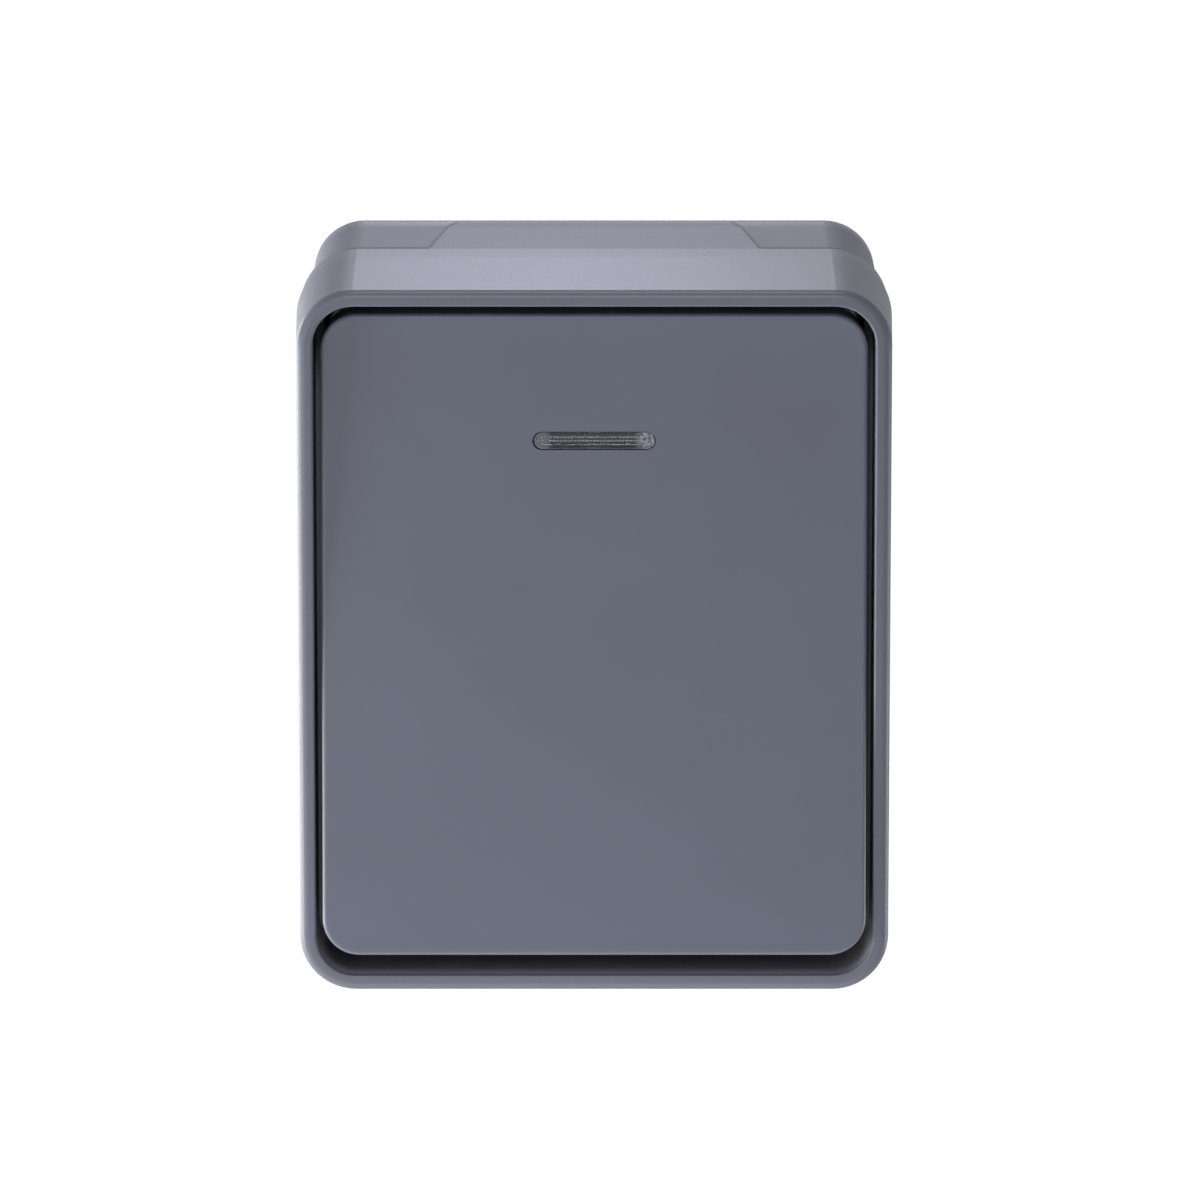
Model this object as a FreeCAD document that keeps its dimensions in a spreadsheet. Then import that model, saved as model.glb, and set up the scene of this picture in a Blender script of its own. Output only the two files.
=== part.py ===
# Weatherproof surface switch: a two-way rocker mechanism in a sealed plastic housing.
# Frame: the origin is the centre of the wall face, X points right, Z points up, and the front faces -Y.
# Depths are counted from the wall towards the front, so a depth of 10 lies at y = -10.
import FreeCAD, Part
import math
import os

import Sketcher

# Driving sizes, in millimetres and degrees.
SIZES = {
    # Front cover
    "cover_width": 74.0,
    "cover_height": 89.6,
    "cover_depth": 21.0,
    "cover_draft": 0.6,
    "cover_corner": 7.0,
    "rim_wall": 2.0,
    "rim_rounding": 1.1,
    "rim_inner_rounding": 0.3,
    "cover_back_rounding": 0.35,
    "deck_thickness": 2.0,
    "dolly_opening_width": 26.8,
    "dolly_opening_height": 17.0,
    "collar_wall": 1.4,
    "collar_rise": 0.8,
    "lamp_opening": 9.0,
    # Rear box
    "box_depth": 34.0,
    "box_inset": 1.1,
    "box_draft": 0.2,
    "box_corner": 6.8,
    "box_wall": 2.0,
    "box_back_wall": 2.2,
    "box_back_rounding": 1.0,
    "flange_inset": 0.3,
    "flange_depth": 6.9,
    "flange_rounding": 0.25,
    "entry_pad_width": 41.8,
    "entry_pad_narrowing": 3.6,
    "entry_pad_back": 12.0,
    "entry_slope": 10.7,
    "knockout": 20.0,
    "score_width": 0.7,
    "score_depth": 0.9,
    "rear_knockout_height": 16.0,
    # Cover gasket
    "gasket_inset": 1.65,
    "gasket_width": 1.2,
    "gasket_height": 1.5,
    "gasket_clearance": 0.05,
    # Cover screws and their bosses
    "screw_inset": 4.2,
    "boss_diameter": 9.6,
    "cover_screw_diameter": 3.5,
    "cover_screw_length": 17.0,
    "cover_screw_head": 6.6,
    "cover_screw_head_height": 2.2,
    "head_pocket": 7.2,
    "head_pocket_depth": 3.5,
    "seal_thickness": 1.0,
    "seal_diameter": 7.0,
    "screw_clearance": 0.5,
    "thread_clearance": 0.1,
    "drive_width": 0.9,
    "drive_depth": 1.2,
    # Wall fixing holes
    "fixing_spacing_x": 40.0,
    "fixing_spacing_z": 62.0,
    "fixing_hole": 4.5,
    "fixing_boss": 9.0,
    "fixing_boss_rise": 1.6,
    # Switch body
    "body_width": 36.0,
    "body_height": 40.0,
    "body_corner": 1.0,
    "chamber_width": 14.0,
    "chamber_end_gap": 1.5,
    "chamber_floor": 4.5,
    "pocket_width": 7.6,
    "pocket_height": 7.6,
    "terminal_x": 13.0,
    "terminal_z": 12.0,
    "wire_hole": 3.4,
    # Mechanism frame
    "plate_thickness": 2.5,
    "plate_side_edge": 0.2,
    "plate_top_edge": 0.8,
    "plate_overhang": 2.0,
    "plate_corner": 1.5,
    "ear_edge": 3.3,
    "ear_height": 9.0,
    "window_width": 11.0,
    "window_height": 13.0,
    "pivot_ear_thickness": 2.0,
    "pivot_ear_gap": 0.3,
    "pivot_ear_radius": 3.8,
    "clip_thickness": 1.2,
    "clip_reach": 8.0,
    "clip_width": 8.0,
    "hook_depth": 0.7,
    "hook_height": 1.0,
    "fit_gap": 0.1,
    "mechanism_screw_diameter": 2.9,
    "mechanism_screw_length": 8.0,
    "mechanism_screw_head": 5.6,
    "mechanism_screw_head_height": 1.9,
    "post_diameter": 7.0,
    "post_gap": 0.7,
    "post_rib": 1.6,
    # Seal between the mechanism frame and the cover
    "frame_seal_width": 2.0,
    "frame_seal_height": 3.0,
    "frame_seal_clearance": 0.35,
    # Terminals
    "strip_thickness": 1.0,
    "strip_width": 5.0,
    "pillar_width": 6.6,
    "pillar_height": 5.0,
    "pillar_depth": 7.0,
    "pillar_bore": 3.2,
    "pillar_bore_depth": 2.6,
    "terminal_screw_diameter": 3.0,
    "terminal_screw_head": 4.6,
    "terminal_screw_head_height": 1.8,
    "terminal_screw_backoff": 0.6,
    "access_hole": 5.2,
    # Rocker
    "rocker_side_gap": 0.9,
    "rocker_end_gap": 2.25,
    "rocker_corner": 4.6,
    "rocker_rounding": 0.5,
    "rocker_recess": 0.5,
    "rocker_wall": 2.2,
    "rocker_side_wall": 2.0,
    "skirt_gap": 1.65,
    "rocker_rib": 1.4,
    "pivot_behind_face": 12.0,
    "rest_tilt": 4.0,
    "lens_length": 15.4,
    "lens_width": 2.3,
    "lens_gap": 0.05,
    "lens_flange_length": 18.4,
    "lens_flange_width": 5.2,
    "lens_flange_thickness": 1.2,
    # Dolly under the rocker
    "dolly_plate_width": 28.0,
    "dolly_plate_height": 25.0,
    "dolly_plate_thickness": 2.5,
    "dolly_plate_behind": 4.5,
    "cheek_thickness": 2.0,
    "cheek_outer": 19.8,
    "cheek_radius": 3.6,
    "hinge_pin": 4.0,
    "hinge_clearance": 0.05,
    "barrel_diameter": 8.4,
    "barrel_reach": 14.0,
    "barrel_bore": 5.2,
    "bore_top": 1.0,
    "web_thickness": 1.6,
    "leg_thickness": 1.6,
    "leg_width": 5.0,
    "leg_spacing": 14.0,
    # Plunger and its spring
    "plunger_diameter": 5.0,
    "plunger_tip": 19.0,
    "plunger_length": 10.0,
    "plunger_rounding": 2.2,
    "spring_coil": 3.8,
    "spring_wire": 0.5,
    "spring_turns": 5.0,
    # Seesaw contact bar
    "bar_gap": 0.2,
    "bar_length": 28.0,
    "bar_width": 6.0,
    "bar_thickness": 1.0,
    "bar_tilt": 7.5,
    "bar_axis_behind": 3.0,
    "bar_axis_height": 3.3,
    "bar_cheek": 0.8,
    "bar_cheek_height": 4.0,
    "lug_diameter": 1.4,
    "lug_length": 1.5,
    "bracket_wall": 1.0,
    "bracket_gap": 0.3,
    "contact_z": 12.0,
    "contact_diameter": 3.2,
    "contact_height": 0.9,
    "contact_rounding": 0.4,
    "fixed_contact_diameter": 3.8,
    "contact_gap": 0.05,
    # Indicator lamp behind the lens
    "lamp_diameter": 5.0,
    "lamp_tip_behind": 7.5,
    "lamp_offset": 4.65,
    "lamp_rim": 0.9,
    "lamp_rim_diameter": 5.8,
    "lamp_rounding": 2.2,
    "holder_diameter": 8.0,
    "holder_flange_diameter": 10.4,
    "holder_flange": 1.2,
    "holder_rise": 3.5,
    "holder_tail_diameter": 5.6,
    "holder_tail": 4.0,
    "lead_diameter": 0.6,
    "lead_spacing": 2.54,
    "lead_into_terminal": 15.6,
    "resistor_diameter": 2.2,
    "resistor_length": 6.2,
}


class Size:
    """A length or angle that knows its number and the sheet expression that gives it."""

    def __init__(self, number, text):
        self.number = float(number)
        self.text = text

    def __add__(self, other):
        other = as_size(other)
        return Size(self.number + other.number, f"({self.text} + {other.text})")

    def __sub__(self, other):
        other = as_size(other)
        return Size(self.number - other.number, f"({self.text} - {other.text})")

    def __mul__(self, other):
        other = as_size(other)
        return Size(self.number * other.number, f"({self.text} * {other.text})")

    def __truediv__(self, other):
        other = as_size(other)
        return Size(self.number / other.number, f"({self.text} / {other.text})")

    def __radd__(self, other):
        return as_size(other) + self

    def __rsub__(self, other):
        return as_size(other) - self

    def __rmul__(self, other):
        return as_size(other) * self

    def __neg__(self):
        return as_size(-1) * self


def as_size(value):
    """A plain number as a Size, and a Size as it is."""
    if isinstance(value, Size):
        return value
    return Size(value, f"({value:g})")


def sine(angle):
    return Size(math.sin(math.radians(angle.number)), f"sin({angle.text})")


def cosine(angle):
    return Size(math.cos(math.radians(angle.number)), f"cos({angle.text})")


def slope_angle(rise, run):
    return Size(math.degrees(math.atan2(rise.number, run.number)), f"atan({rise.text} / {run.text})")


class Sheet:
    """The driving sizes as cells of one spreadsheet, each read back by its alias."""

    def __init__(self, doc, table):
        self.cells = doc.addObject("Spreadsheet::Sheet", "sizes")
        for row, (alias, number) in enumerate(table.items(), start=1):
            self.cells.set(f"A{row}", alias)
            self.cells.set(f"B{row}", str(number))
            self.cells.setAlias(f"B{row}", alias)
            setattr(self, alias, Size(number, f"sizes.{alias}"))


doc = FreeCAD.newDocument("weatherproof_switch")
s = Sheet(doc, SIZES)
doc.recompute()


# Sketched shapes

def bind(item, path, value):
    """Ties one property of a document object to the sheet."""
    item.setExpression(path, as_size(value).text)


def constrain(sketch, kind, *where, value):
    """Adds a sized constraint, bound to the sheet."""
    index = sketch.addConstraint(Sketcher.Constraint(kind, *where, as_size(value).number))
    bind(sketch, f"Constraints[{index}]", value)


def pin_point(sketch, shape, point, x, y):
    """Fixes a sketch point at its two coordinates, or on an axis where a coordinate is zero."""
    for kind, value, axis in (("DistanceX", as_size(x), -2), ("DistanceY", as_size(y), -1)):
        if abs(value.number) < 1e-9:
            sketch.addConstraint(Sketcher.Constraint("PointOnObject", shape, point, axis))
        else:
            constrain(sketch, kind, shape, point, value=value)


def flat(x, y):
    return FreeCAD.Vector(as_size(x).number, as_size(y).number, 0)


UP = FreeCAD.Vector(0, 0, 1)


class Disc:
    """A circle at a centre."""

    def __init__(self, x, y, diameter):
        self.x, self.y, self.diameter = as_size(x), as_size(y), as_size(diameter)

    def draw(self, sketch):
        circle = Part.Circle(flat(self.x, self.y), UP, self.diameter.number / 2)
        shape = sketch.addGeometry(circle, False)
        pin_point(sketch, shape, 3, self.x, self.y)
        constrain(sketch, "Diameter", shape, value=self.diameter)


class Outline:
    """A closed polygon through its corner points."""

    def __init__(self, *points):
        self.points = points

    def draw(self, sketch):
        ends = self.points[1:] + self.points[:1]
        lines = [
            sketch.addGeometry(Part.LineSegment(flat(*start), flat(*end)), False)
            for start, end in zip(self.points, ends)
        ]
        for line, following in zip(lines, lines[1:] + lines[:1]):
            sketch.addConstraint(Sketcher.Constraint("Coincident", line, 2, following, 1))
        for line, (x, y) in zip(lines, self.points):
            pin_point(sketch, line, 1, x, y)


def oblong(x, y, width, height):
    """A sharp-cornered rectangle about a centre."""
    right, left = as_size(x) + width / 2, as_size(x) - width / 2
    top, bottom = as_size(y) + height / 2, as_size(y) - height / 2
    return Outline((left, bottom), (right, bottom), (right, top), (left, top))


def rays(corner, sweep):
    """Unit directions at the start and end of a quarter arc."""
    angles = (corner, corner + sweep)
    return [(math.cos(math.radians(a)), math.sin(math.radians(a))) for a in angles]


class Rounded:
    """A rectangle about a centre with four rounded corners."""

    CORNERS = ((1, 1, 0), (-1, 1, 90), (-1, -1, 180), (1, -1, 270))

    def __init__(self, x, y, width, height, radius):
        self.x, self.y, self.radius = as_size(x), as_size(y), as_size(radius)
        self.run_x = as_size(width) / 2 - self.radius
        self.run_y = as_size(height) / 2 - self.radius

    def draw(self, sketch):
        radius = self.radius.number
        arcs, ends = [], []
        for side_x, side_y, start in self.CORNERS:
            centre = flat(self.x + side_x * self.run_x, self.y + side_y * self.run_y)
            circle = Part.Circle(centre, UP, radius)
            arc = Part.ArcOfCircle(circle, math.radians(start), math.radians(start + 90))
            arcs.append(sketch.addGeometry(arc, False))
            ends.append([centre + radius * FreeCAD.Vector(*ray, 0) for ray in rays(start, 90)])
        for index, arc in enumerate(arcs):
            after = (index + 1) % len(arcs)
            line = sketch.addGeometry(Part.LineSegment(ends[index][1], ends[after][0]), False)
            sketch.addConstraint(Sketcher.Constraint("Tangent", arc, 2, line, 1))
            sketch.addConstraint(Sketcher.Constraint("Tangent", line, 2, arcs[after], 1))
        for arc, (side_x, side_y, _) in zip(arcs, self.CORNERS):
            pin_point(sketch, arc, 3, self.x + side_x * self.run_x, self.y + side_y * self.run_y)
            constrain(sketch, "Radius", arc, value=self.radius)


class Slot:
    """A horizontal slot with half-round ends."""

    def __init__(self, x, y, length, width):
        self.x, self.y, self.radius = as_size(x), as_size(y), as_size(width) / 2
        self.run = as_size(length) / 2 - self.radius

    def draw(self, sketch):
        radius = self.radius.number
        arcs, ends = [], []
        for side, start in ((1, -90), (-1, 90)):
            centre = flat(self.x + side * self.run, self.y)
            circle = Part.Circle(centre, UP, radius)
            arc = Part.ArcOfCircle(circle, math.radians(start), math.radians(start + 180))
            arcs.append(sketch.addGeometry(arc, False))
            ends.append([centre + radius * FreeCAD.Vector(*ray, 0) for ray in rays(start, 180)])
        for index in (0, 1):
            after = 1 - index
            line = sketch.addGeometry(Part.LineSegment(ends[index][1], ends[after][0]), False)
            sketch.addConstraint(Sketcher.Constraint("Tangent", arcs[index], 2, line, 1))
            sketch.addConstraint(Sketcher.Constraint("Tangent", line, 2, arcs[after], 1))
        for arc, side in zip(arcs, (1, -1)):
            pin_point(sketch, arc, 3, self.x + side * self.run, self.y)
        constrain(sketch, "Radius", arcs[0], value=self.radius)


class Arch:
    """A straight-sided tongue with a round end, centred on a vertical or horizontal line."""

    def __init__(self, x, y, radius, foot_x):
        self.x, self.y = as_size(x), as_size(y)
        self.radius, self.foot_x = as_size(radius), as_size(foot_x)

    def draw(self, sketch):
        side = 1 if self.foot_x.number > self.x.number else -1
        start = 90 if side > 0 else -90
        centre = flat(self.x, self.y)
        circle = Part.Circle(centre, UP, self.radius.number)
        arc = Part.ArcOfCircle(circle, math.radians(start), math.radians(start + 180))
        arc = sketch.addGeometry(arc, False)
        first, last = [centre + self.radius.number * FreeCAD.Vector(*ray, 0) for ray in rays(start, 180)]
        foot_last = flat(self.foot_x, self.y - side * self.radius)
        foot_first = flat(self.foot_x, self.y + side * self.radius)
        out = sketch.addGeometry(Part.LineSegment(last, foot_last), False)
        foot = sketch.addGeometry(Part.LineSegment(foot_last, foot_first), False)
        back = sketch.addGeometry(Part.LineSegment(foot_first, first), False)
        sketch.addConstraint(Sketcher.Constraint("Tangent", arc, 2, out, 1))
        sketch.addConstraint(Sketcher.Constraint("Coincident", out, 2, foot, 1))
        sketch.addConstraint(Sketcher.Constraint("Coincident", foot, 2, back, 1))
        sketch.addConstraint(Sketcher.Constraint("Tangent", back, 2, arc, 1))
        pin_point(sketch, arc, 3, self.x, self.y)
        constrain(sketch, "Radius", arc, value=self.radius)
        pin_point(sketch, foot, 1, self.foot_x, self.y - side * self.radius)
        sketch.addConstraint(Sketcher.Constraint("Vertical", foot))


# Pieces built from sketched features

FRONT_VIEW = "XZ_Plane"
SIDE_VIEW = "YZ_Plane"
TOP_VIEW = "XY_Plane"


class Piece:
    """One piece as a body of features, each drawn on the body's own origin planes.

    A feature runs from low to high along its plane's normal: depth in the front view,
    x in the side view and z in the top view.
    """

    def __init__(self, name):
        self.body = doc.addObject("PartDesign::Body", name)
        self.body.Label = name
        self.body.AllowCompound = True
        self.count = 0

    def origin(self, role):
        return next(item for item in self.body.Origin.OriginFeatures if item.Role == role)

    def feature(self, kind, word):
        self.count += 1
        return self.body.newObject(kind, f"{self.body.Name}_{word}_{self.count}")

    def sketch(self, shapes, offset, view):
        sketch = self.feature("Sketcher::SketchObject", "sketch")
        sketch.AttachmentSupport = [(self.origin(view), "")]
        sketch.MapMode = "FlatFace"
        bind(sketch, "AttachmentOffset.Base.z", offset)
        for shape in shapes:
            shape.draw(sketch)
        return sketch

    def settle(self, feature, before, gained):
        """Recomputes, and stops where a feature failed or changed nothing."""
        doc.recompute()
        change = feature.Shape.Volume - before
        if change == 0 or (change > 0) != gained:
            raise RuntimeError(f"{feature.Name} changed the volume by {change:.3f}")

    def volume(self):
        return self.body.Shape.Volume if self.body.Tip else 0.0

    def add(self, shapes, low, high, view=FRONT_VIEW, flare=None):
        """Adds material. A flare widens the high end by that much on each side."""
        before = self.volume()
        sketch = self.sketch(shapes, low, view)
        pad = self.feature("PartDesign::Pad", "pad")
        pad.Profile = (sketch, [""])
        bind(pad, "Length", as_size(high) - low)
        if flare is not None:
            bind(pad, "TaperAngle", slope_angle(flare, as_size(high) - low))
        self.settle(pad, before, gained=True)

    def cut(self, shapes, low, high, view=FRONT_VIEW):
        """Cuts material away."""
        before = self.volume()
        sketch = self.sketch(shapes, high, view)
        pocket = self.feature("PartDesign::Pocket", "pocket")
        pocket.Profile = (sketch, [""])
        bind(pocket, "Length", as_size(high) - low)
        self.settle(pocket, before, gained=False)

    def round(self, radius, chosen):
        """Rounds the edges that a test chooses."""
        before = self.volume()
        tip = self.body.Tip
        names = [
            f"Edge{number}"
            for number, edge in enumerate(tip.Shape.Edges, start=1)
            if chosen(edge)
        ]
        fillet = self.feature("PartDesign::Fillet", "fillet")
        fillet.Base = (tip, names)
        bind(fillet, "Radius", radius)
        self.settle(fillet, before, gained=False)

    def place(self, centre_depth, tilt):
        """Turns the finished body about an X axis at a depth, so that z = 0 stays its centre."""
        self.body.Placement = FreeCAD.Placement(
            FreeCAD.Vector(0, 0, 0), FreeCAD.Rotation(FreeCAD.Vector(1, 0, 0), tilt.number)
        )
        bind(self.body, "Placement.Rotation.Angle", tilt)
        bind(self.body, "Placement.Base.y", -centre_depth * (1 - cosine(tilt)))
        bind(self.body, "Placement.Base.z", centre_depth * sine(tilt))


NEAR = 1e-4


def at_depth(depth, inside_x=None, inside_z=None):
    """Chooses the edges that lie at one depth, if need be only those inside a rectangle."""

    def chosen(edge):
        box = edge.BoundBox
        level = -as_size(depth).number
        if abs(box.YMin - level) > NEAR or abs(box.YMax - level) > NEAR:
            return False
        if inside_x is None:
            return True
        wide = max(abs(box.XMin), abs(box.XMax)) <= inside_x.number + NEAR
        tall = max(abs(box.ZMin), abs(box.ZMax)) <= inside_z.number + NEAR
        return wide and tall

    return chosen


def corners(x, z):
    """The four points at plus and minus x and z."""
    return [(side_x * x, side_z * z) for side_x in (1, -1) for side_z in (1, -1)]


# Depths and outlines that several pieces share

front = s.box_depth + s.cover_depth
plate_front = s.box_depth + s.plate_thickness
deck_back = plate_front + s.frame_seal_height
deck_front = deck_back + s.deck_thickness
back_half_width = s.cover_width / 2 + s.cover_draft
back_half_height = s.cover_height / 2 + s.cover_draft
back_corner = s.cover_corner + s.cover_draft
well_half_width = s.cover_width / 2 - s.rim_wall
well_half_height = s.cover_height / 2 - s.rim_wall
well_corner = s.cover_corner - s.rim_wall
box_half_width = back_half_width - s.box_inset
box_half_height = back_half_height - s.box_inset
cavity_half_width = box_half_width - s.box_wall
cavity_half_height = box_half_height - s.box_wall
cavity_corner = s.box_corner - s.box_wall
flange_half_height = back_half_height - s.flange_inset
flange_back = s.box_depth - s.flange_depth
screw_x = cavity_half_width - s.screw_inset
screw_z = cavity_half_height - s.screw_inset
head_seat = deck_front - s.head_pocket_depth
clip_inner = s.body_width / 2 + s.fit_gap
clip_outer = clip_inner + s.clip_thickness
plate_half_width = clip_outer + s.plate_side_edge
ear_hole_x = clip_outer + s.post_gap + s.post_diameter / 2
rocker_half_width = well_half_width - s.rocker_side_gap
rocker_half_height = well_half_height - s.rocker_end_gap
rocker_face = front - s.rocker_recess
skirt_back = deck_front + s.skirt_gap + rocker_half_height * sine(s.rest_tilt)
rocker_inside = rocker_face - s.rocker_wall
pivot = rocker_face - s.pivot_behind_face
dolly_plate_back = pivot + s.dolly_plate_behind
dolly_plate_front = dolly_plate_back + s.dolly_plate_thickness
lens_z = s.body_height / 2 + s.lamp_offset
bar_front = pivot - s.plunger_tip - s.bar_gap
bar_back = bar_front - s.bar_thickness
bar_axis = bar_front - s.bar_axis_behind
floor = bar_axis - s.bar_axis_height
body_back = floor - s.chamber_floor
strip_front = floor + s.strip_thickness
pillar_front = strip_front + s.pillar_depth
wire_depth = strip_front + s.pillar_bore_depth
lamp_tip = front - s.lamp_tip_behind
lamp_seat = plate_front + s.holder_rise
seal_side = s.terminal_x + s.access_hole / 2 + s.frame_seal_clearance + s.frame_seal_width
seal_bottom = s.terminal_z + s.access_hole / 2 + s.frame_seal_clearance + s.frame_seal_width
seal_top = lens_z + s.holder_flange_diameter / 2 + s.frame_seal_clearance + s.frame_seal_width
TERMINALS = ((-1, 1), (1, 1), (1, -1))
terminal_centres = [(side_x * s.terminal_x, side_z * s.terminal_z) for side_x, side_z in TERMINALS]


def cover_back_outline(inset, radius_loss=None):
    """The cover's outline at the parting plane, moved inwards."""
    loss = inset if radius_loss is None else radius_loss
    width = 2 * (back_half_width - inset)
    height = 2 * (back_half_height - inset)
    return Rounded(0, 0, width, height, back_corner - loss)


# Rear box: the moulded shell that is screwed to the wall

def entry_pad_plan():
    """The raised cable entry field seen from above: a trapezoid that narrows towards the wall."""
    half_front = s.entry_pad_width / 2
    half_back = half_front - s.entry_pad_narrowing
    back = s.entry_pad_back - s.entry_slope
    return Outline(
        (-half_front, -flange_back), (half_front, -flange_back), (half_back, -back), (-half_back, -back)
    )


def add_entry_pad(piece, side):
    """One entry field, level with the flange, that slopes down to the wall of the box at its back."""
    root = box_half_height - s.box_wall / 2
    top = flange_half_height
    slope_foot = s.entry_pad_back - s.entry_slope
    low, high = (root, top) if side > 0 else (-top, -root)
    piece.add([entry_pad_plan()], low, high, TOP_VIEW)
    wedge = Outline(
        (-s.entry_pad_back, side * top),
        (-slope_foot, side * (box_half_height - s.box_draft)),
        (-slope_foot + 1, side * (box_half_height - s.box_draft)),
        (-slope_foot + 1, side * (top + 1)),
        (-s.entry_pad_back, side * (top + 1)),
    )
    piece.cut([wedge], -s.entry_pad_width, s.entry_pad_width, SIDE_VIEW)


def rear_box():
    piece = Piece("rear_box")
    shell_width = 2 * (box_half_width - s.box_draft)
    shell_height = 2 * (box_half_height - s.box_draft)
    shell = Rounded(0, 0, shell_width, shell_height, s.box_corner - s.box_draft)
    piece.add([shell], 0, s.box_depth, flare=s.box_draft)
    piece.round(s.box_back_rounding, at_depth(0))
    piece.add([cover_back_outline(s.flange_inset)], flange_back, s.box_depth)
    piece.round(s.flange_rounding, at_depth(s.box_depth))
    add_entry_pad(piece, 1)
    add_entry_pad(piece, -1)
    cavity = Rounded(0, 0, 2 * cavity_half_width, 2 * cavity_half_height, cavity_corner)
    piece.cut([cavity], s.box_back_wall, s.box_depth)
    groove_half = s.gasket_width / 2 + s.gasket_clearance
    groove = [cover_back_outline(s.gasket_inset + side * groove_half) for side in (-1, 1)]
    piece.cut(groove, s.box_depth - s.gasket_height, s.box_depth)

    # Posts for the cover screws and the mechanism screws, tied to the side walls
    posts = [Disc(x, z, s.boss_diameter) for x, z in corners(screw_x, screw_z)]
    piece.add(posts, s.box_back_wall, s.box_depth - s.gasket_height - 1)
    piece.add(
        [Disc(x, z, s.cover_screw_diameter + 2 * s.box_wall) for x, z in corners(screw_x, screw_z)],
        s.box_back_wall,
        s.box_depth,
    )
    post_top = s.box_depth
    piece.add([Disc(side * ear_hole_x, 0, s.post_diameter) for side in (1, -1)], s.box_back_wall, post_top)
    ribs = [
        oblong(side * (ear_hole_x + cavity_half_width) / 2, 0, cavity_half_width - ear_hole_x, s.post_rib)
        for side in (1, -1)
    ]
    piece.add(ribs, s.box_back_wall, flange_back)
    thread = s.cover_screw_diameter + s.thread_clearance
    piece.cut(
        [Disc(x, z, thread) for x, z in corners(screw_x, screw_z)],
        head_seat + s.seal_thickness - s.cover_screw_length - 1,
        s.box_depth,
    )
    thread = s.mechanism_screw_diameter + s.thread_clearance
    piece.cut(
        [Disc(side * ear_hole_x, 0, thread) for side in (1, -1)],
        plate_front - s.mechanism_screw_length - 1,
        post_top,
    )

    # Wall fixing holes in raised bosses, and scored knock-outs in the back and the two ends
    fixings = corners(s.fixing_spacing_x / 2, s.fixing_spacing_z / 2)
    boss_top = s.box_back_wall + s.fixing_boss_rise
    piece.add([Disc(x, z, s.fixing_boss) for x, z in fixings], s.box_back_wall, boss_top)
    piece.cut([Disc(x, z, s.fixing_hole) for x, z in fixings], 0, boss_top)
    score = [
        Disc(0, -s.rear_knockout_height, s.knockout),
        Disc(0, -s.rear_knockout_height, s.knockout - 2 * s.score_width),
    ]
    piece.cut(score, s.box_back_wall - s.score_depth, s.box_back_wall)
    middle = -(s.box_back_wall + flange_back) / 2
    score = [Disc(0, middle, s.knockout), Disc(0, middle, s.knockout - 2 * s.score_width)]
    piece.cut(score, cavity_half_height, cavity_half_height + s.score_depth, TOP_VIEW)
    piece.cut(score, -cavity_half_height - s.score_depth, -cavity_half_height, TOP_VIEW)


def box_gasket():
    piece = Piece("box_gasket")
    half = s.gasket_width / 2
    ring = [cover_back_outline(s.gasket_inset - half), cover_back_outline(s.gasket_inset + half)]
    piece.add(ring, s.box_depth - s.gasket_height, s.box_depth)


# Front cover: the moulded frame round the rocker, with its deck and screw bosses

def front_cover():
    piece = Piece("front_cover")
    piece.add([cover_back_outline(as_size(0))], s.box_depth, front, flare=-s.cover_draft)
    piece.round(s.rim_rounding, at_depth(front))
    piece.round(s.cover_back_rounding, at_depth(s.box_depth))
    well = Rounded(0, 0, 2 * well_half_width, 2 * well_half_height, well_corner)
    piece.cut([well], deck_front, front)
    piece.round(s.rim_inner_rounding, at_depth(front, well_half_width, well_half_height))
    piece.cut([well], s.box_depth, deck_back)
    bosses = [Disc(x, z, s.boss_diameter) for x, z in corners(screw_x, screw_z)]
    piece.add(bosses, s.box_depth, deck_front)
    heads = [Disc(x, z, s.head_pocket) for x, z in corners(screw_x, screw_z)]
    piece.cut(heads, head_seat, deck_front)
    shank = s.cover_screw_diameter + s.screw_clearance
    piece.cut([Disc(x, z, shank) for x, z in corners(screw_x, screw_z)], s.box_depth, head_seat)
    opening = (0, 0, s.dolly_opening_width, s.dolly_opening_height)
    collar_width = s.dolly_opening_width + 2 * s.collar_wall
    collar_height = s.dolly_opening_height + 2 * s.collar_wall
    collar = Rounded(0, 0, collar_width, collar_height, s.plate_corner + s.collar_wall)
    piece.add([collar], deck_front, deck_front + s.collar_rise)
    piece.cut([Rounded(*opening, s.plate_corner)], deck_back, deck_front + s.collar_rise)
    piece.cut([Disc(0, lens_z, s.lamp_opening)], deck_back, deck_front)


def add_screws(name, centres, seat, head, head_height, shank, length, head_rounding):
    """A group of like pan-head screws with a cross drive, each a solid of its own."""
    piece = Piece(name)
    piece.add([Disc(x, z, head) for x, z in centres], seat, seat + head_height)
    piece.round(head_rounding, at_depth(seat + head_height))
    piece.add([Disc(x, z, shank) for x, z in centres], seat - length, seat)
    drive = head * 0.7
    top = seat + head_height
    piece.cut([oblong(x, z, drive, s.drive_width) for x, z in centres], top - s.drive_depth, top)
    piece.cut([oblong(x, z, s.drive_width, drive) for x, z in centres], top - s.drive_depth, top)


def cover_screws():
    add_screws(
        "cover_screws",
        corners(screw_x, screw_z),
        head_seat + s.seal_thickness,
        s.cover_screw_head,
        s.cover_screw_head_height,
        s.cover_screw_diameter,
        s.cover_screw_length,
        s.cover_screw_head_height / 3,
    )


def cover_screw_seals():
    piece = Piece("cover_screw_seals")
    centres = corners(screw_x, screw_z)
    bore = s.cover_screw_diameter + s.thread_clearance
    rings = [Disc(x, z, s.seal_diameter) for x, z in centres] + [Disc(x, z, bore) for x, z in centres]
    piece.add(rings, head_seat, head_seat + s.seal_thickness)


# Mechanism: insulating body, frame plate with the hinge ears, and its screws

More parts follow.
